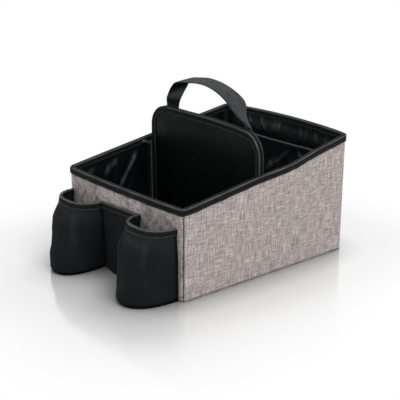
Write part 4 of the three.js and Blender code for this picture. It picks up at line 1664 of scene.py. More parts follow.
@dataclass
class Divider(Sewn):
    """The raised divider: two padded faces, the tape round them and the strips at the walls."""

    shape: DividerForm
    columns: int = 72
    rows: int = 52
    crown: float = 1.4
    crown_run: float = 28.0
    lip: float = 0.45
    flange_half: float = 11.5
    welt: float = 5.2
    flange_end: Pair = (4.4, 23.0)
    pucker: Ridge = Ridge(0.25, 3.0, 4.0)
    edge_roll: Ridge = Ridge(0.85, 1.0, 0.9)
    welt_roll: Ridge = Ridge(1.5, 0.0, 1.0)
    # Painted highlights along the welt and the top edge.
    welt_painted_highlight: Ridge = Ridge(1.1, 0.0, 1.1)
    top_painted_highlight: Ridge = Ridge(0.8, 0.0, 2.4)
    settling: Settling = Settling(frames=20, spare=0.03, stiffness=14.0, bending=0.3, most=0.6)

    def pad(self, name: str, facing: float) -> None:
        """One padded face.

        Args:
            name: Name of the CAD node.
            facing: -1 for the front, 1 for the back.
        """
        shape, inset = self.shape, self.form.tape + self.form.fit + 0.2
        reach = shape.half - inset
        angle = np.linspace(-1.0, 1.0, self.columns)
        from_middle = reach * np.sign(angle) * (1.0 - (1.0 - np.abs(angle)) ** 1.5)
        share = (1.0 - (1.0 - np.linspace(0.0, 1.0, self.rows)) ** 1.25)[:, None]
        bottom = self.form.floor_top + 0.5
        z = mix(bottom, shape.top(from_middle, inset)[None, :], share)
        across = np.broadcast_to(from_middle / shape.half, z.shape)
        from_edge = np.minimum(shape.half - np.abs(from_middle)[None, :],
                               shape.top(from_middle, 0.0)[None, :] - z)
        from_edge = np.minimum(from_edge, z - bottom)
        swell = self.crown * smoothstep(from_edge, shape.leg - 1.0, shape.leg + self.crown_run)
        base = shape.points(across, z, facing * shape.face)
        outward = np.zeros_like(base)
        outward[..., 1] = facing
        held = 1.0 - smoothstep(from_edge, shape.leg - 0.5, shape.leg + 9.0)
        settled = self.settling.run((base + outward * swell[..., None]) * MM, held, outward) / MM
        u = across * shape.half
        soft = 0.22 * (drift(u, z, 70.0, 91) + 1.0) * (1.0 - held)
        pucker = self.pucker.at(from_edge - shape.leg) * (drift(u, z, 9.0, 92) + 0.5)
        face = settled + outward * (soft + np.maximum(pucker, 0.0))[..., None]
        back = shape.points(across, z, facing * shape.core_face)
        piece = self.shell(f"{name}_cloth", "divider_fabric", name, face, back, laid(u, z))

    def edge(self) -> tuple[Grid, Grid]:
        """The divider's outline, up the left side, over the top and down the right side.

        Returns:
            Places across and up, and the directions outward there.
        """
        shape = self.shape
        straight, shoulder = shape.half - shape.corner, shape.height - shape.corner
        up = np.linspace(self.form.floor_top + 0.4, shoulder, 46, endpoint=False)
        angle = np.linspace(0.0, math.pi / 2.0, 18)
        cos, sin = np.cos(angle), np.sin(angle)
        along = np.linspace(-straight, 0.0, 26)[1:]
        places = np.concatenate([
            np.column_stack([np.full(len(up), -shape.half), up]),
            np.column_stack([-straight - shape.corner * cos, shoulder + shape.corner * sin]),
            np.column_stack([along, np.full(len(along), shape.height)])])
        out = np.concatenate([np.tile([-1.0, 0.0], (len(up), 1)), np.column_stack([-cos, sin]),
                              np.tile([0.0, 1.0], (len(along), 1))])
        return tuple(np.concatenate([half, half[-2::-1] * np.array([-1.0, 1.0])])
                     for half in (places, out))

    def tape(self) -> None:
        """The tape folded over the divider's sides and top, with two piped edges."""
        shape, low_end = self.shape, self.form.floor_top + 0.4
        clear = 2.0 * (shape.face + self.form.fit)
        tape = FoldedTape(self.form, clear, (shape.leg, shape.leg), self.lip)
        places, out = self.edge()
        run = run_along(places)
        up = tape.up - 0.05
        low = smoothstep(-up, 1.5, 8.5)
        lift = np.maximum(0.2 * (drift(run[:, None], up, 12.0, 95) + 0.7) * low, 0.0)
        offset = tape.across - clear / 2.0 + np.where(tape.across < clear / 2.0, -lift, lift)
        reach = np.minimum(up + 0.3 * drift(run[:, None], 0.0, 19.0, 96) * low, 0.0)
        x = places[:, 0:1] + out[:, 0:1] * reach
        z = np.maximum(places[:, 1:2] + out[:, 1:2] * reach, low_end)
        # The profile's painted highlights and painted shade, with some wear, vary along the tape
        # and are weaker toward its right end.
        right_end = 1.0 - 0.45 * smoothstep(places[:, 0] / shape.half, 0.9, 1.0)
        painted_light_and_rub = (1.0 + 0.35 * drift(run, 0.0, 27.0, 98)) * right_end
        points = shape.points(x / shape.half, z, offset)
        self.folded("divider_tape", "divider_binding", tape, points, run, painted_light_and_rub)

    def stitches(self) -> None:
        """Stitches near both edges of the tape."""
        shape = self.shape
        places, out = self.edge()
        at = places - out * (shape.leg - GROOVE)
        z = np.maximum(at[:, 1], self.form.floor_top + 1.0)
        lines = []
        for facing in (-1.0, 1.0):
            offset = facing * (shape.face + self.form.fit + self.form.tape - 0.05)
            lines.append((shape.points(at[:, 0] / shape.half, z, offset), (0.0, facing, 0.0)))
        self.stitch("divider_stitches", "binding_tape", lines)

    def flange(self, side: Side) -> None:
        """The strip that holds one end of the divider, with its rolled edges.

        Args:
            side: The wall that it is sewn to.
        """
        form, half = self.form, self.flange_half
        across = np.sin(np.linspace(-math.pi / 2.0, math.pi / 2.0, 41))
        run = form.stations(side, self.shape.distance(side) + half * across)
        share = (1.0 - (1.0 - np.linspace(0.0, 1.0, 48)) ** 1.6)[:, None]
        top = (form.rim(run) - 9.0 - 2.2 * (np.abs(across) ** 5))[None, :]
        z = mix(form.floor_top + 0.3, top, share)
        across = across[None, :]
        from_edge = np.minimum(half * (1.0 - np.abs(across)), top - z)
        from_welt = np.abs(np.abs(across) * half - self.welt)
        roll = self.edge_roll.at(from_edge) + self.welt_roll.at(from_welt)
        wave = 0.12 * drift(30.0 * across, z, 16.0, 97)
        raised = np.where(np.abs(across) * half < 4.6, 0.72, 0.72 + roll + wave)
        outside, inside = (form.points(run, z, form.wall + form.fit + depth)
                           for depth in (0.0, raised))
        # Painted highlights along the welt and the top edge; elsewhere a little darker.
        wear = self.welt_painted_highlight.at(from_welt) + self.top_painted_highlight.at(top - z) - 0.15
        name = f"divider_flange_{side.value}"
        self.shell(f"{name}_tape", "binding_tape", name, outside, inside, laid(z, half * across),
                   wear)

    def flange_hem(self, side: Side) -> None:
        """The strip's turned end, which lies on the lining in front of the divider.

        Args:
            side: The wall that it is sewn to.
        """
        form = self.form
        way = 1.0 if side is Side.LEFT else -1.0
        at = np.linspace(*self.flange_end, 24)
        run = form.stations(side, self.shape.distance(side) + way * at)
        angle = np.linspace(0.0, math.tau, 12, endpoint=False)[:, None]
        end = np.minimum(1.0, 3.0 * np.sin(np.linspace(0.05, math.pi - 0.05, 24)))[None, :]
        turned = smoothstep(at, 9.0, 20.0)[None, :]
        swing = mix(1.3, 2.0, turned) * end * np.sin(angle)
        z = form.rim(run)[None, :] - mix(10.4, 4.6, turned) + swing
        points = form.points(run, z, form.wall + form.fit + 1.9 + 0.9 * end * np.cos(angle))
        cloth = laid(np.append(angle, math.tau)[:, None] * 1.3, at[None, :])
        # The turned end is paler as a painted highlight, most where it turns over.
        piece = self.swept(f"divider_flange_{side.value}_hem", points, cloth, (True, False),
                           wear=0.6 + 0.8 * turned)
        self.dress(piece, "binding_tape")

    def build(self) -> None:
        """Makes every piece of the divider."""
        self.pad("divider_pad_front", -1.0)
        self.pad("divider_pad_back", 1.0)
        self.tape()
        self.stitches()
        for side in (Side.LEFT, Side.RIGHT):
            self.flange(side)
            self.flange_hem(side)


@dataclass
class Handle(Sewn):
    """One length of webbing: sewn down the divider's back, arching over it and down again.

    It is a ruled strip between its two edges, which twist a quarter on the way up from each foot
    and lie level on top. Both edges are given from the left tail to the right tail.
    """

    shape: DividerForm
    width: float = 29.0
    webbing: float = 1.4
    feet: Pair = (-82.0, 79.6)
    tail: float = 46.0
    offset: float = 5.4
    steps: int = 8
    selvedge: Ridge = Ridge(0.22, 1.6, 1.0)
    edge_shade: Ridge = Ridge(-0.6, 0.0, 1.6)
    # Painted shade and one painted light patch along the strap's inner face.
    inner_shades: tuple[Ridge, ...] = (
        Ridge(-1.2, 53.0, 7.5), Ridge(1.3, 70.0, 6.0), Ridge(-1.2, 92.0, 12.0))
    near_edge: tuple[Place, ...] = (
        (-96.5, 153.4, 148.5), (-96.5, 153.4, 160.0), (-96.5, 153.4, 172.0),
        (-96.5, 153.7, 184.0), (-96.5, 154.2, 194.7), (-92.8, 150.7, 204.0),
        (-86.3, 147.1, 211.1), (-77.3, 141.8, 217.8), (-67.1, 136.6, 225.3),
        (-56.5, 132.3, 232.5), (-45.9, 127.0, 237.8), (-34.7, 122.8, 241.0),
        (-22.5, 121.5, 242.9), (-10.3, 121.0, 244.2), (1.3, 120.6, 245.8), (11.8, 120.2, 246.7),
        (23.2, 119.9, 246.7), (34.5, 119.6, 245.5), (45.8, 119.7, 242.9), (56.6, 120.2, 238.5),
        (66.4, 121.3, 232.0), (74.7, 123.3, 223.0), (84.0, 128.3, 211.8), (90.7, 139.5, 199.8),
        (93.3, 147.2, 190.6), (94.1, 146.4, 181.0), (94.1, 143.8, 171.0), (94.1, 143.3, 160.0),
        (94.1, 143.3, 148.5))
    far_edge: tuple[Place, ...] = (
        (-67.5, 153.4, 148.5), (-67.5, 153.4, 160.0), (-67.5, 153.4, 172.0),
        (-67.5, 153.2, 184.0), (-67.5, 152.6, 194.3), (-63.9, 151.9, 205.4),
        (-59.3, 154.7, 216.9), (-56.2, 158.8, 226.8), (-52.6, 160.1, 234.5),
        (-45.5, 158.3, 239.5), (-37.7, 154.2, 242.9), (-28.9, 150.8, 245.1),
        (-18.3, 150.0, 246.5), (-7.8, 149.7, 247.9), (3.3, 149.3, 249.0), (13.1, 149.1, 248.7),
        (24.1, 148.8, 247.8), (34.8, 148.6, 246.1), (45.3, 148.7, 243.5), (55.2, 149.2, 239.9),
        (64.3, 150.1, 234.8), (71.5, 151.6, 228.1), (72.3, 153.5, 220.0), (69.4, 155.8, 210.7),
        (65.9, 157.9, 197.4), (65.2, 155.2, 186.0), (65.1, 149.8, 174.0), (65.1, 147.4, 162.0),
        (65.1, 147.4, 148.5))

    def strap(self) -> None:
        """The webbing from tail to tail."""
        near, far = (smooth_line(edge, self.steps) for edge in (self.near_edge, self.far_edge))
        line, wide = (near + far) / 2.0, far - near
        run = run_along(line)
        thick = unit(np.cross(np.gradient(line, axis=0), wide))
        angle = np.linspace(0.0, math.tau, 36, endpoint=False)
        across = blunted(np.cos(angle), 0.55)
        up = self.webbing / 2.0 * blunted(np.sin(angle), 0.35)
        from_edge = self.width / 2.0 * (1.0 - np.abs(across))
        selvedge = 1.0 + self.selvedge.at(from_edge)
        free = smoothstep(line[:, 2], 190.0, 206.0)[:, None]
        wave = 0.2 * drift(run[:, None], 0.0, 37.0, 101)
        lift = (up * selvedge)[None, :] + (wave - 0.35 * across[None, :] ** 2) * free
        points = (line[:, None] + wide[:, None] * across[None, :, None] / 2.0
                  + thick[:, None] * lift[..., None])
        around = run_along(closed(np.column_stack([across * self.width / 2.0, up])))
        # Darker along both edges; painted shade low and high on the left leg's inner face, with a
        # painted light patch between.
        shade = sum(part.at(run) for part in self.inner_shades)
        wear = (self.edge_shade.at(from_edge)[None, :]
                + np.where(up < 0.0, 1.0, 0.0)[None, :] * shade[:, None])
        piece = self.swept("handle_webbing", points, laid(run[:, None], around[None, :]),
                           (False, True), True, wear)
        piece.data.materials.append(self.finishes.webbing)
        self.fold(-7.0)
        self.fold(9.0)
        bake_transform(piece)
        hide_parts("handle_strap", "handle_tail_left", "handle_tail_right")
        log.info("%s: %d faces", piece.name, len(piece.data.polygons))

    def fold(self, above: float) -> Place:
        """A point above or below the line about which the handle folds."""
        feet = [(x, self.shape.centre(x) + self.offset, self.shape.height) for x in self.feet]
        return tuple(self.form.world(np.mean(feet, 0) + (0.0, 0.0, above)).tolist())

    def tail_stitches(self) -> None:
        """A stitched box with a cross in it on both tails."""
        wide, height = self.width / 2.0 - 3.0, self.shape.height
        low, high = height - self.tail + 3.0, height - 20.0
        corners = [(-wide, low), (wide, low), (wide, high), (-wide, high), (-wide, low)]
        lines = []
        for foot in self.feet:
            for path in (corners, [(-wide, low), (wide, high)], [(-wide, high), (wide, low)]):
                share = np.linspace(0.0, len(path) - 1.0, 12 * (len(path) - 1) + 1)
                x, z = sampled(share, np.arange(len(path)), np.array(path)).T
                x = foot + x
                y = self.shape.centre(x) + self.offset + self.webbing / 2.0 - 0.05
                lines.append((np.column_stack([x, y, z]), (0.0, 1.0, 0.0)))
        self.stitch("tail_stitches", "webbing", lines)

    def build(self) -> None:
        """Makes the webbing and its stitches."""
        self.strap()
        self.tail_stitches()


@dataclass
class CupPocket(Sewn):
    """A stretch cup pocket: wall, foot and a band folded over its mouth."""

    name: str
    centre: float
    top: float
    foot_depth: float
    lean: float
    seed: int
    creases: tuple[Fold, ...] = ()
    half: float = 39.0
    body_depth: float = 57.0
    flare_height: float = 60.0
    shoulder: float = 46.0
    mouth_depth: float = 34.0
    narrowing: float = 2.0
    swell: float = 1.0
    squareness: Pair = (2.15, 2.6)
    fabric: float = 1.4
    foot_radius: float = 6.0
    clear: float = 0.4
    lowest: float = 0.15
    band_clear: float = 1.6
    gather: Ridge = Ridge(0.3, 0.0, 5.0)
    roll_under_band: Ridge = Ridge(0.5, 3.4, 1.6)
    seam_welt: Ridge = Ridge(0.8, 2.4, 1.1)
    seam_groove: Ridge = Ridge(0.5, 5.2, 1.2)
    hem_groove: Ridge = Ridge(0.55, 3.2, 0.9)
    band_gather: Ridge = Ridge(0.9, 0.0, 16.0)
    columns: int = 97
    settling: Settling = Settling(frames=16, spare=0.02, stiffness=12.0, bending=0.4, most=0.45)
    stitching: Stitching = Stitching(2.2, 0.7, 0.22)
    foot_levels: tuple[Pair, ...] = (
        (0.0, 1.2), (0.5, 1.0), (0.85, 0.8), (0.955, 0.6), (0.965, 1.2), (0.955, 1.8),
        (0.5, 2.2), (0.0, 2.4))

    def outline(self, z: Grid) -> tuple[Grid, Grid]:
        """The pocket's outline in plan.

        Args:
            z: Heights, one for each row.

        Returns:
            Places aside from the centre and out from the wall, in rows from the left seam to the
            right one.
        """
        z = np.asarray(z, float)[:, None]
        below = np.clip((self.clear + self.foot_radius - z) / self.foot_radius, 0.0, 1.0)
        pull = self.foot_radius * (1.0 - np.sqrt(1.0 - below * below))
        at_mouth = smoothstep(z, self.top - self.shoulder, self.top)
        half = self.half - self.narrowing * at_mouth
        swell = self.swell * (1.0 - at_mouth) - pull
        lean = self.lean * (1.0 - smoothstep(z, 0.0, self.top))
        body = mix(self.foot_depth, self.body_depth, smoothstep(z, 0.0, self.flare_height))
        depth = mix(body, self.mouth_depth, at_mouth**1.3) - pull
        power = 2.0 / mix(*self.squareness, at_mouth)
        angle = math.pi * (1.0 - np.linspace(0.0, 1.0, self.columns)[None, :])
        sine = np.clip(np.sin(angle), 0.0, None)
        out = sine**power
        return blunted(np.cos(angle), power) * (half + swell * sine) + lean * out, out * depth

    def back(self, x: Grid, z: Grid) -> Grid:
        """The y of the pocket's back, at a fit from the front wall."""
        return self.form.face(Side.FRONT, x, z) - self.form.fit

    def places(self, z: Grid) -> Grid:
        """The pocket's outer face.

        Args:
            z: Heights, one for each row.

        Returns:
            Its points.
        """
        aside, out = self.outline(z)
        x = self.centre + aside
        z = np.broadcast_to(np.asarray(z, float)[:, None], x.shape)
        return np.stack([x, self.back(x, z) - out, z], -1)

    def forward(self, normals: Grid) -> Grid:
        """Normals turned to the outside of the pocket."""
        return normals * np.sign(-normals[len(normals) // 2, self.columns // 2, 1])

    def wall_cloth(self) -> None:
        """The stretch fabric, with the seams at its sides and the creases under its band."""
        low = self.clear + self.foot_radius * (1.0 - np.cos(np.linspace(0.0, math.pi / 2.0, 9)))
        high = np.linspace(self.clear + self.foot_radius + 1.6, self.top - 1.2, 50)
        base = self.places(np.concatenate([low, high]))
        outward = self.forward(surface_normals(base))
        share = np.linspace(0.0, 1.0, self.columns)[None, :]
        z = base[..., 2]
        free = smoothstep(np.minimum(share, 1.0 - share), 0.02, 0.12) * smoothstep(z, 2.0, 14.0)
        free = free * (1.0 - smoothstep(z, self.top - 17.0, self.top - 9.5))
        settled = self.settling.run(base * MM, 1.0 - free, outward) / MM
        arc = np.stack([run_along(row) for row in base])
        run = arc - arc[:, -1:] / 2.0
        creased = sum((fold.heights(run, z) for fold in self.creases), 0.0 * run)
        below = self.top - LEG - z
        lift = 0.22 * (drift(run, z, 40.0, self.seed) + 0.8) * free + creased
        gather = self.gather.at(below) * drift(run, z * 0.25, 9.0, self.seed + 1)
        lift = lift + (gather + self.roll_under_band.at(below)) * (below > 0.0)
        from_seam = np.minimum(arc, arc[:, -1:] - arc)
        lift = np.maximum(lift * smoothstep(from_seam, 0.0, 5.0), -0.9)
        seam = self.seam_welt.at(from_seam) - self.seam_groove.at(from_seam)
        lift = lift + seam * smoothstep(z, 0.4, 5.0) - self.hem_groove.at(z)
        face = settled + outward * lift[..., None]
        inner = face - outward * self.fabric
        limit = self.back(inner[..., 0], inner[..., 2])
        for sheet in (inner, face):
            sheet[..., 1] = np.minimum(sheet[..., 1], limit)
        face[..., 2] = np.maximum(face[..., 2], self.lowest)
        inner[..., 2] = np.clip(inner[..., 2], self.lowest, self.top - 1.2)
        # Painted light on the crease ridges and painted shade in their hollows, in the side seams
        # and along the foot.
        wear = 0.4 * creased - np.exp(-((from_seam / 5.0) ** 4)) - np.exp(-((z / 5.5) ** 4))
        # A painted highlight on the shoulder under the band, which faces up.
        shoulder = smoothstep(below, -2.0, 3.0) * (1.0 - smoothstep(below, 4.0, 26.0))
        name = f"cup_pocket_{self.name}"
        piece = self.shell(f"{name}_knit", "pocket_fabric", name, face, inner, laid(run, z),
                           wear + 0.45 * shoulder)

    def foot_cloth(self) -> None:
        """The pocket's bottom piece."""
        aside, out = self.outline(np.array([self.clear + 0.2]))
        x = self.centre + aside[0]
        outline = np.column_stack([x, self.back(x, 0.0 * x) - out[0]])
        middle = np.array([self.centre, float(np.mean(outline[:, 1])) * 0.6])
        rings, cloth = stacked_rings(outline, middle, self.foot_levels)
        name = f"cup_pocket_floor_{self.name}"
        piece = self.swept(f"{name}_knit", rings, cloth, (False, True))
        self.dress(piece, "pocket_fabric", name)

    def band_tape(self) -> None:
        """The band folded over the mouth."""
        form = self.form
        tape = FoldedTape(form, self.band_clear + 2.0 * form.fit)
        across, up = tape.across.T, tape.up.T
        rows = self.places(self.top + np.minimum(tape.up[0], -0.05))
        near = surface_normals(self.places(np.linspace(self.top - LEG, self.top, 5)))
        outward = self.forward(near[2:3])[0]
        outward[:, 2] = 0.0
        outward = unit(outward)
        outward[0], outward[-1] = outward[1], outward[-2]
        arc = run_along(rows[0])[None, :]
        wave = 0.3 * drift(arc, up, 15.0, self.seed + 3) * (0.35 + smoothstep(-up, 1.5, 8.5))
        gather = self.band_gather.at(arc) * np.sin(arc * 0.75 + up * 0.12)
        out = form.fit - across + wave + gather
        points = rows + outward[None, :] * out[..., None]
        points[..., 2] = self.top + up + 0.35 * drift(arc, 0.0, 21.0, self.seed + 4)
        points[..., 1] = np.minimum(points[..., 1], self.back(points[..., 0], points[..., 2]))
        # The band's painted highlights and painted shade, with some wear, vary along it.
        painted_light_and_rub = 1.4 * (1.0 + 0.3 * drift(arc[0], 0.0, 20.0, self.seed + 5))
        name = f"cup_pocket_binding_{self.name}"
        self.folded(f"{name}_band", name, tape, points.transpose(1, 0, 2), arc[0], painted_light_and_rub)
        line = self.places(np.array([self.top - LEG + GROOVE]))[0] + outward * 1.0
        self.stitch(f"band_stitches_{self.name}", "binding_tape", [(line[2:-2], outward[2:-2])],
                    self.stitching)

    def build(self) -> None:
        """Makes the pocket's pieces."""
        self.wall_cloth()
        self.foot_cloth()
        self.band_tape()


@dataclass
class FrontStrip(Sewn):
    """The strip of pocket fabric between the cup pockets, with its band."""

    left: float = -38.6
    right: float = 36.6
    tops: Pair = (94.8, 97.2)
    slack: float = 6.0
    fabric: float = 1.4
    stand_off: float = 1.4
    band_clear: float = 2.2
    columns: int = 40
    stitching: Stitching = Stitching(2.2, 0.7, 0.22)

    def places(self, share: Grid, down: Grid, out: Grid | float) -> Grid:
        """Points of the strip.

        Args:
            share: Place across, 0 to 1.
            down: Distance under the top.
            out: Distance out from the front wall.

        Returns:
            The points.
        """
        share, down, out = np.broadcast_arrays(share, down, out)
        x, top = mix(self.left, self.right, share), mix(*self.tops, share)
        z = np.maximum(top - down, 1.0)
        loose = self.slack * np.sin(math.pi * share) * (1.0 - smoothstep(z, 0.0, 85.0))
        return np.stack([x, self.form.face(Side.FRONT, x, z) - loose - out, z], -1)

    def build(self) -> None:
        """Makes the strip and its band."""
        form, wide = self.form, self.right - self.left
        share = np.linspace(0.0, 1.0, self.columns)[None, :]
        down = np.linspace(95.5, 1.2, 48)[:, None]
        lift = 0.5 * (drift(share * wide, -down, 30.0, 121) + 0.9)
        lift = lift * np.sin(math.pi * share) ** 0.5 * smoothstep(down, 9.0, 24.0)
        face = self.places(share, down, self.stand_off + self.fabric + lift)
        back = self.places(share, down, self.stand_off + lift)
        piece = self.shell("front_strip_knit", "pocket_fabric", "pocket_centre_panel", face, back,
                           laid(share * wide, -down))
        tape = FoldedTape(form, self.band_clear)
        points = self.places(share.T, -tape.up + 0.05, form.fit + form.tape + tape.across)
        # The band takes the tape's painted highlights and painted shade, with some wear.
        self.folded("front_strip_band", "pocket_centre_binding", tape, points, share[0] * wide, 1.1)
        line = self.places(share[0], LEG - GROOVE, form.fit + 2.0 * form.tape + self.band_clear)
        self.stitch("band_stitches_middle", "binding_tape", [(line, (0.0, -1.0, 0.0))],
                    self.stitching)


@dataclass
class RearPocket(Sewn):
    """The flat pocket inside the back wall, slack at its mouth."""

    top: float = 138.0
    mouth: float = 8.0
    half: float = 113.6
    fabric: float = 0.6
    tape_clear: float = 1.4
    tape_leg: float = 4.0
    # Fold height at which the painted highlight on a crest is full.
    shine: float = 3.0
    flat_height: float = 134.0

    def places(self, share: Grid, z: Grid, forward: Grid) -> Grid:
        """Points of the pocket.

        Args:
            share: Place across, 0 to 1.
            z: Heights.
            forward: Distance forward of its back face.

        Returns:
            The points.
        """
        share, z, forward = np.broadcast_arrays(share, z, forward)
        form, x = self.form, mix(-self.half, self.half, share)
        rise = np.clip((z - form.floor_top) / (self.top - form.floor_top), 0.0, 1.0)
        arch = np.clip(np.sin(math.pi * share), 0.0, None) ** 0.7
        slack = 2.0 * form.fit + form.tape + self.mouth * arch * rise**1.5
        return np.stack([x, form.face(Side.BACK, x, z, form.wall) - slack - forward, z], -1)

    def build(self) -> None:
        """Makes the pocket and the narrow tape at its mouth."""
        form, wide = self.form, 2.0 * self.half
        share = np.linspace(0.0, 1.0, 96)[None, :]
        z = np.linspace(form.floor_top + 0.6, self.top - 1.1, 56)[:, None]
        u = share * wide
        free = smoothstep(np.minimum(share, 1.0 - share), 0.02, 0.12) * smoothstep(z, 12.0, 40.0)
        free = free * (1.0 - smoothstep(z, self.top - 16.0, self.top - 4.0))
        folds = scattered_folds(131, 22, (16.0, wide - 16.0), (84.0, 136.0), 5.2, 62.0)
        folded = sum(fold.heights(u, z) for fold in folds) * free
        lift = np.maximum(folded + 0.4 * drift(u, z, 30.0, 132) * free, -0.3)
        # A painted sheen all over, and painted highlights on the fold crests.
        wear = np.minimum(0.2 + (folded / self.shine) ** 2, 0.9)
        piece = self.shell("rear_pocket_cloth", "lining", "rear_pocket_panel",
                           self.places(share, z, self.fabric + lift), self.places(share, z, lift),
                           laid(u, z), wear)
        tape = FoldedTape(form, self.tape_clear, (self.tape_leg, self.tape_leg))
        run = np.linspace(0.0, 1.0, 90)[:, None]
        z = self.top + tape.up + 0.25 * drift(run * wide, 0.0, 26.0, 133)
        points = self.places(run, z, tape.across - form.fit + 0.1 * (1.0 - self.fabric))
        # The tape takes the profile's painted highlights and painted shade, with some wear.
        self.folded("rear_pocket_tape", "rear_pocket_binding", tape, points, run[:, 0] * wide, 1.2)


@dataclass
class Boards:
    """The stiffening boards, which keep their CAD shape."""

    finishes: Finishes

    def build(self, frame: dict) -> None:
        """Gives every board its finish.

        Args:
            frame: The loaded frame.
        """
        for name in [f"board_{side.value}" for side in Side] + ["board_floor", "divider_board"]:
            materials = frame["nodes"][name].data.materials
            materials.clear()
            materials.append(self.finishes.board)
            log.info("%s: CAD solid", name)


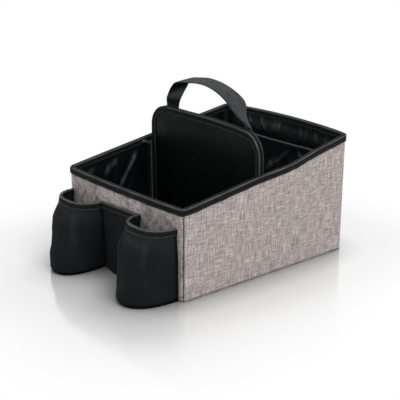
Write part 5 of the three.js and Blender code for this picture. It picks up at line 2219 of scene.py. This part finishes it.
@dataclass
class Studio:
    """Pale floor, soft lights and the photograph's camera, in metres."""

    azimuth: float = 49.5
    elevation: float = 18.4
    distance: float = 1.3336
    aim: Place = (0.0492, -0.0254, 0.1)
    focal: float = 90.0
    sensor: float = 36.0
    ambient: float = 0.62
    lamps_face: Place = (0.0, 0.0, 0.1)
    floor_radius: float = 6.0
    floor_sides: int = 64
    floor_gap: float = 0.0002
    floor_colour: Colour = (0.84, 0.84, 0.84)
    floor_roughness: float = 0.13
    floor_shine: Pair = (3.2, 1.5)
    shine_reach: Pair = (0.0, 0.11)
    white_reach: Pair = (0.02, 0.24)
    footprint: Pair = (0.129, 0.184)
    contact_reach: float = 0.05
    lamps: tuple[tuple[str, Place, float, float], ...] = (
        ("key", (1.5, -0.3, 1.7), 1.6, 29.0), ("fill", (-0.9, -1.6, 1.3), 1.8, 9.0),
        ("back", (-0.4, 1.7, 1.6), 1.4, 14.0))

    def put(self, name: str, data: bpy.types.ID, place: Place, turn: Place) -> Piece:
        """Puts a camera, a lamp or a mesh into the scene.

        Args:
            name: Its name.
            data: What it is.
            place: Where it stands.
            turn: Its rotation about x, y and z, in radians.

        Returns:
            The object.
        """
        thing = bpy.data.objects.new(name, data)
        thing.location, thing.rotation_euler = place, turn
        bpy.context.scene.collection.objects.link(thing)
        return thing

    def camera(self) -> None:
        """The camera at the photograph's angle."""
        azimuth, elevation = math.radians(self.azimuth), math.radians(self.elevation)
        toward = np.array([math.sin(azimuth) * math.cos(elevation),
                           -math.cos(azimuth) * math.cos(elevation), math.sin(elevation)])
        data = bpy.data.cameras.new("camera")
        data.lens, data.sensor_width = self.focal, self.sensor
        data.clip_start, data.clip_end = 0.05, 20.0
        place = tuple(np.array(self.aim) + self.distance * toward)
        turn = (math.pi / 2.0 - elevation, 0.0, azimuth)
        bpy.context.scene.camera = self.put("camera", data, place, turn)

    def lamp(self, name: str, place: Place, size: float, power: float) -> None:
        """A square soft lamp that faces the caddy.

        Args:
            name: Name of the lamp.
            place: Where it stands.
            size: Its side.
            power: Its power in watts.
        """
        data = bpy.data.lights.new(name, "AREA")
        data.size, data.energy = size, power
        x, y, z = unit(np.array(place) - np.array(self.lamps_face))
        self.put(name, data, place, (math.acos(z), 0.0, math.atan2(x, -y)))

    def world(self) -> None:
        """Even light, and a white background for the camera."""
        world = bpy.data.worlds.new("studio")
        world.use_nodes = True
        bpy.context.scene.world = world
        nodes = Nodes(world.node_tree)
        soft = nodes.node("ShaderNodeBackground", {1: self.ambient}).outputs[0]
        white = nodes.node("ShaderNodeBackground", {0: (1.0, 1.0, 1.0)}).outputs[0]
        both = nodes.node("ShaderNodeMixShader", {0: nodes.seen_share(), 1: soft, 2: white})
        nodes.node("ShaderNodeOutputWorld", {0: both.outputs[0]})

    def floor(self) -> None:
        """A pale floor that keeps the caddy's shadow, with a painted contact shadow near it, and
        runs out into white.
        """
        mesh = bpy.data.meshes.new("floor")
        angles = [step * math.tau / self.floor_sides for step in range(self.floor_sides)]
        rim = [(self.floor_radius * math.cos(angle), self.floor_radius * math.sin(angle), 0.0)
               for angle in angles]
        mesh.from_pydata(rim, [], [list(range(self.floor_sides))])
        floor = self.put("floor", mesh, (0.0, 0.0, -self.floor_gap), (0.0, 0.0, 0.0))
        shader = Shader("pale_floor")
        place = shader.node("ShaderNodeTexCoord").outputs["Object"]
        for operation, other in (("ABSOLUTE", {}), ("SUBTRACT", {1: (*self.footprint, 0.0)}),
                                 ("MAXIMUM", {1: (0.0, 0.0, 0.0)})):
            place = shader.node("ShaderNodeVectorMath", {0: place, **other},
                                operation=operation).outputs[0]
        away = shader.node("ShaderNodeVectorMath", {0: place}, operation="LENGTH").outputs["Value"]
        white, shine = (shader.node("ShaderNodeMapRange", {
            "Value": away, "From Min": reach[0], "From Max": reach[1], "To Min": ends[0],
            "To Max": ends[1]}, interpolation_type="SMOOTHSTEP").outputs[0]
            for reach, ends in ((self.white_reach, (0.0, 1.0)),
                                (self.shine_reach, self.floor_shine)))
        share = shader.math("MULTIPLY", white, shader.seen_share())
        # Painted contact shadow: the floor's colour darkens close to the caddy by ambient
        # occlusion.
        shade = shader.node("ShaderNodeAmbientOcclusion", {
            "Color": self.floor_colour, "Distance": self.contact_reach}, samples=8).outputs[0]
        surface = shader.node("ShaderNodeBsdfPrincipled", {
            "Base Color": shade, "Roughness": self.floor_roughness, "IOR": shine}).outputs[0]
        glow = shader.node("ShaderNodeEmission").outputs[0]
        both = shader.node("ShaderNodeMixShader", {0: share, 1: surface, 2: glow})
        shader.node("ShaderNodeOutputMaterial", {0: both.outputs[0]})
        mesh.materials.append(shader.material)

    def build(self) -> None:
        """Sets up the studio."""
        self.camera()
        self.world()
        self.floor()
        for lamp in self.lamps:
            self.lamp(*lamp)
        bpy.context.scene.view_settings.view_transform = "Standard"


def main() -> None:
    """Builds the caddy's looks, piece by piece, around the frame."""
    logging.basicConfig(level=logging.INFO, format="%(message)s")
    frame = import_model()
    low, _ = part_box("outer_floor")
    origin = (low[0] / MM + BoxForm().half, low[1] / MM)
    form = BoxForm(origin=origin)
    finishes = Finishes()
    divider = DividerForm(form)
    Boards(finishes).build(frame)
    OuterShell(form, finishes).build()
    Lining(form, finishes).build()
    RimTape(form, finishes).build()
    Divider(form, finishes, divider).build()
    Handle(form, finishes, divider).build()
    CupPocket(form, finishes, "left", centre=-79.0, top=94.0, foot_depth=70.5, lean=16.0,
              seed=141, creases=(
        Fold((-36.0, 84.0), (-22.0, 60.0), 1.3, 2.8), Fold((-30.0, 80.0), (6.0, 74.0), -1.5, 2.4),
        Fold((22.0, 84.0), (34.0, 40.0), 1.2, 4.5),
        Fold((-8.0, 30.0), (-30.0, 8.0), 1.0, 4.5))).build()
    CupPocket(form, finishes, "right", centre=77.0, top=98.0, foot_depth=65.0, lean=5.0,
              seed=151, creases=(
        Fold((-36.0, 88.0), (-18.0, 62.0), 1.5, 2.8), Fold((-30.0, 84.0), (-12.0, 68.0), -1.8, 2.6),
        Fold((-14.0, 82.0), (20.0, 78.0), 1.2, 2.2), Fold((24.0, 88.0), (30.0, 50.0), 1.1, 4.0),
        Fold((8.0, 34.0), (-16.0, 8.0), 1.0, 4.5))).build()
    FrontStrip(form, finishes).build()
    RearPocket(form, finishes).build()
    Studio().build()


if __name__ == "__main__":
    main()
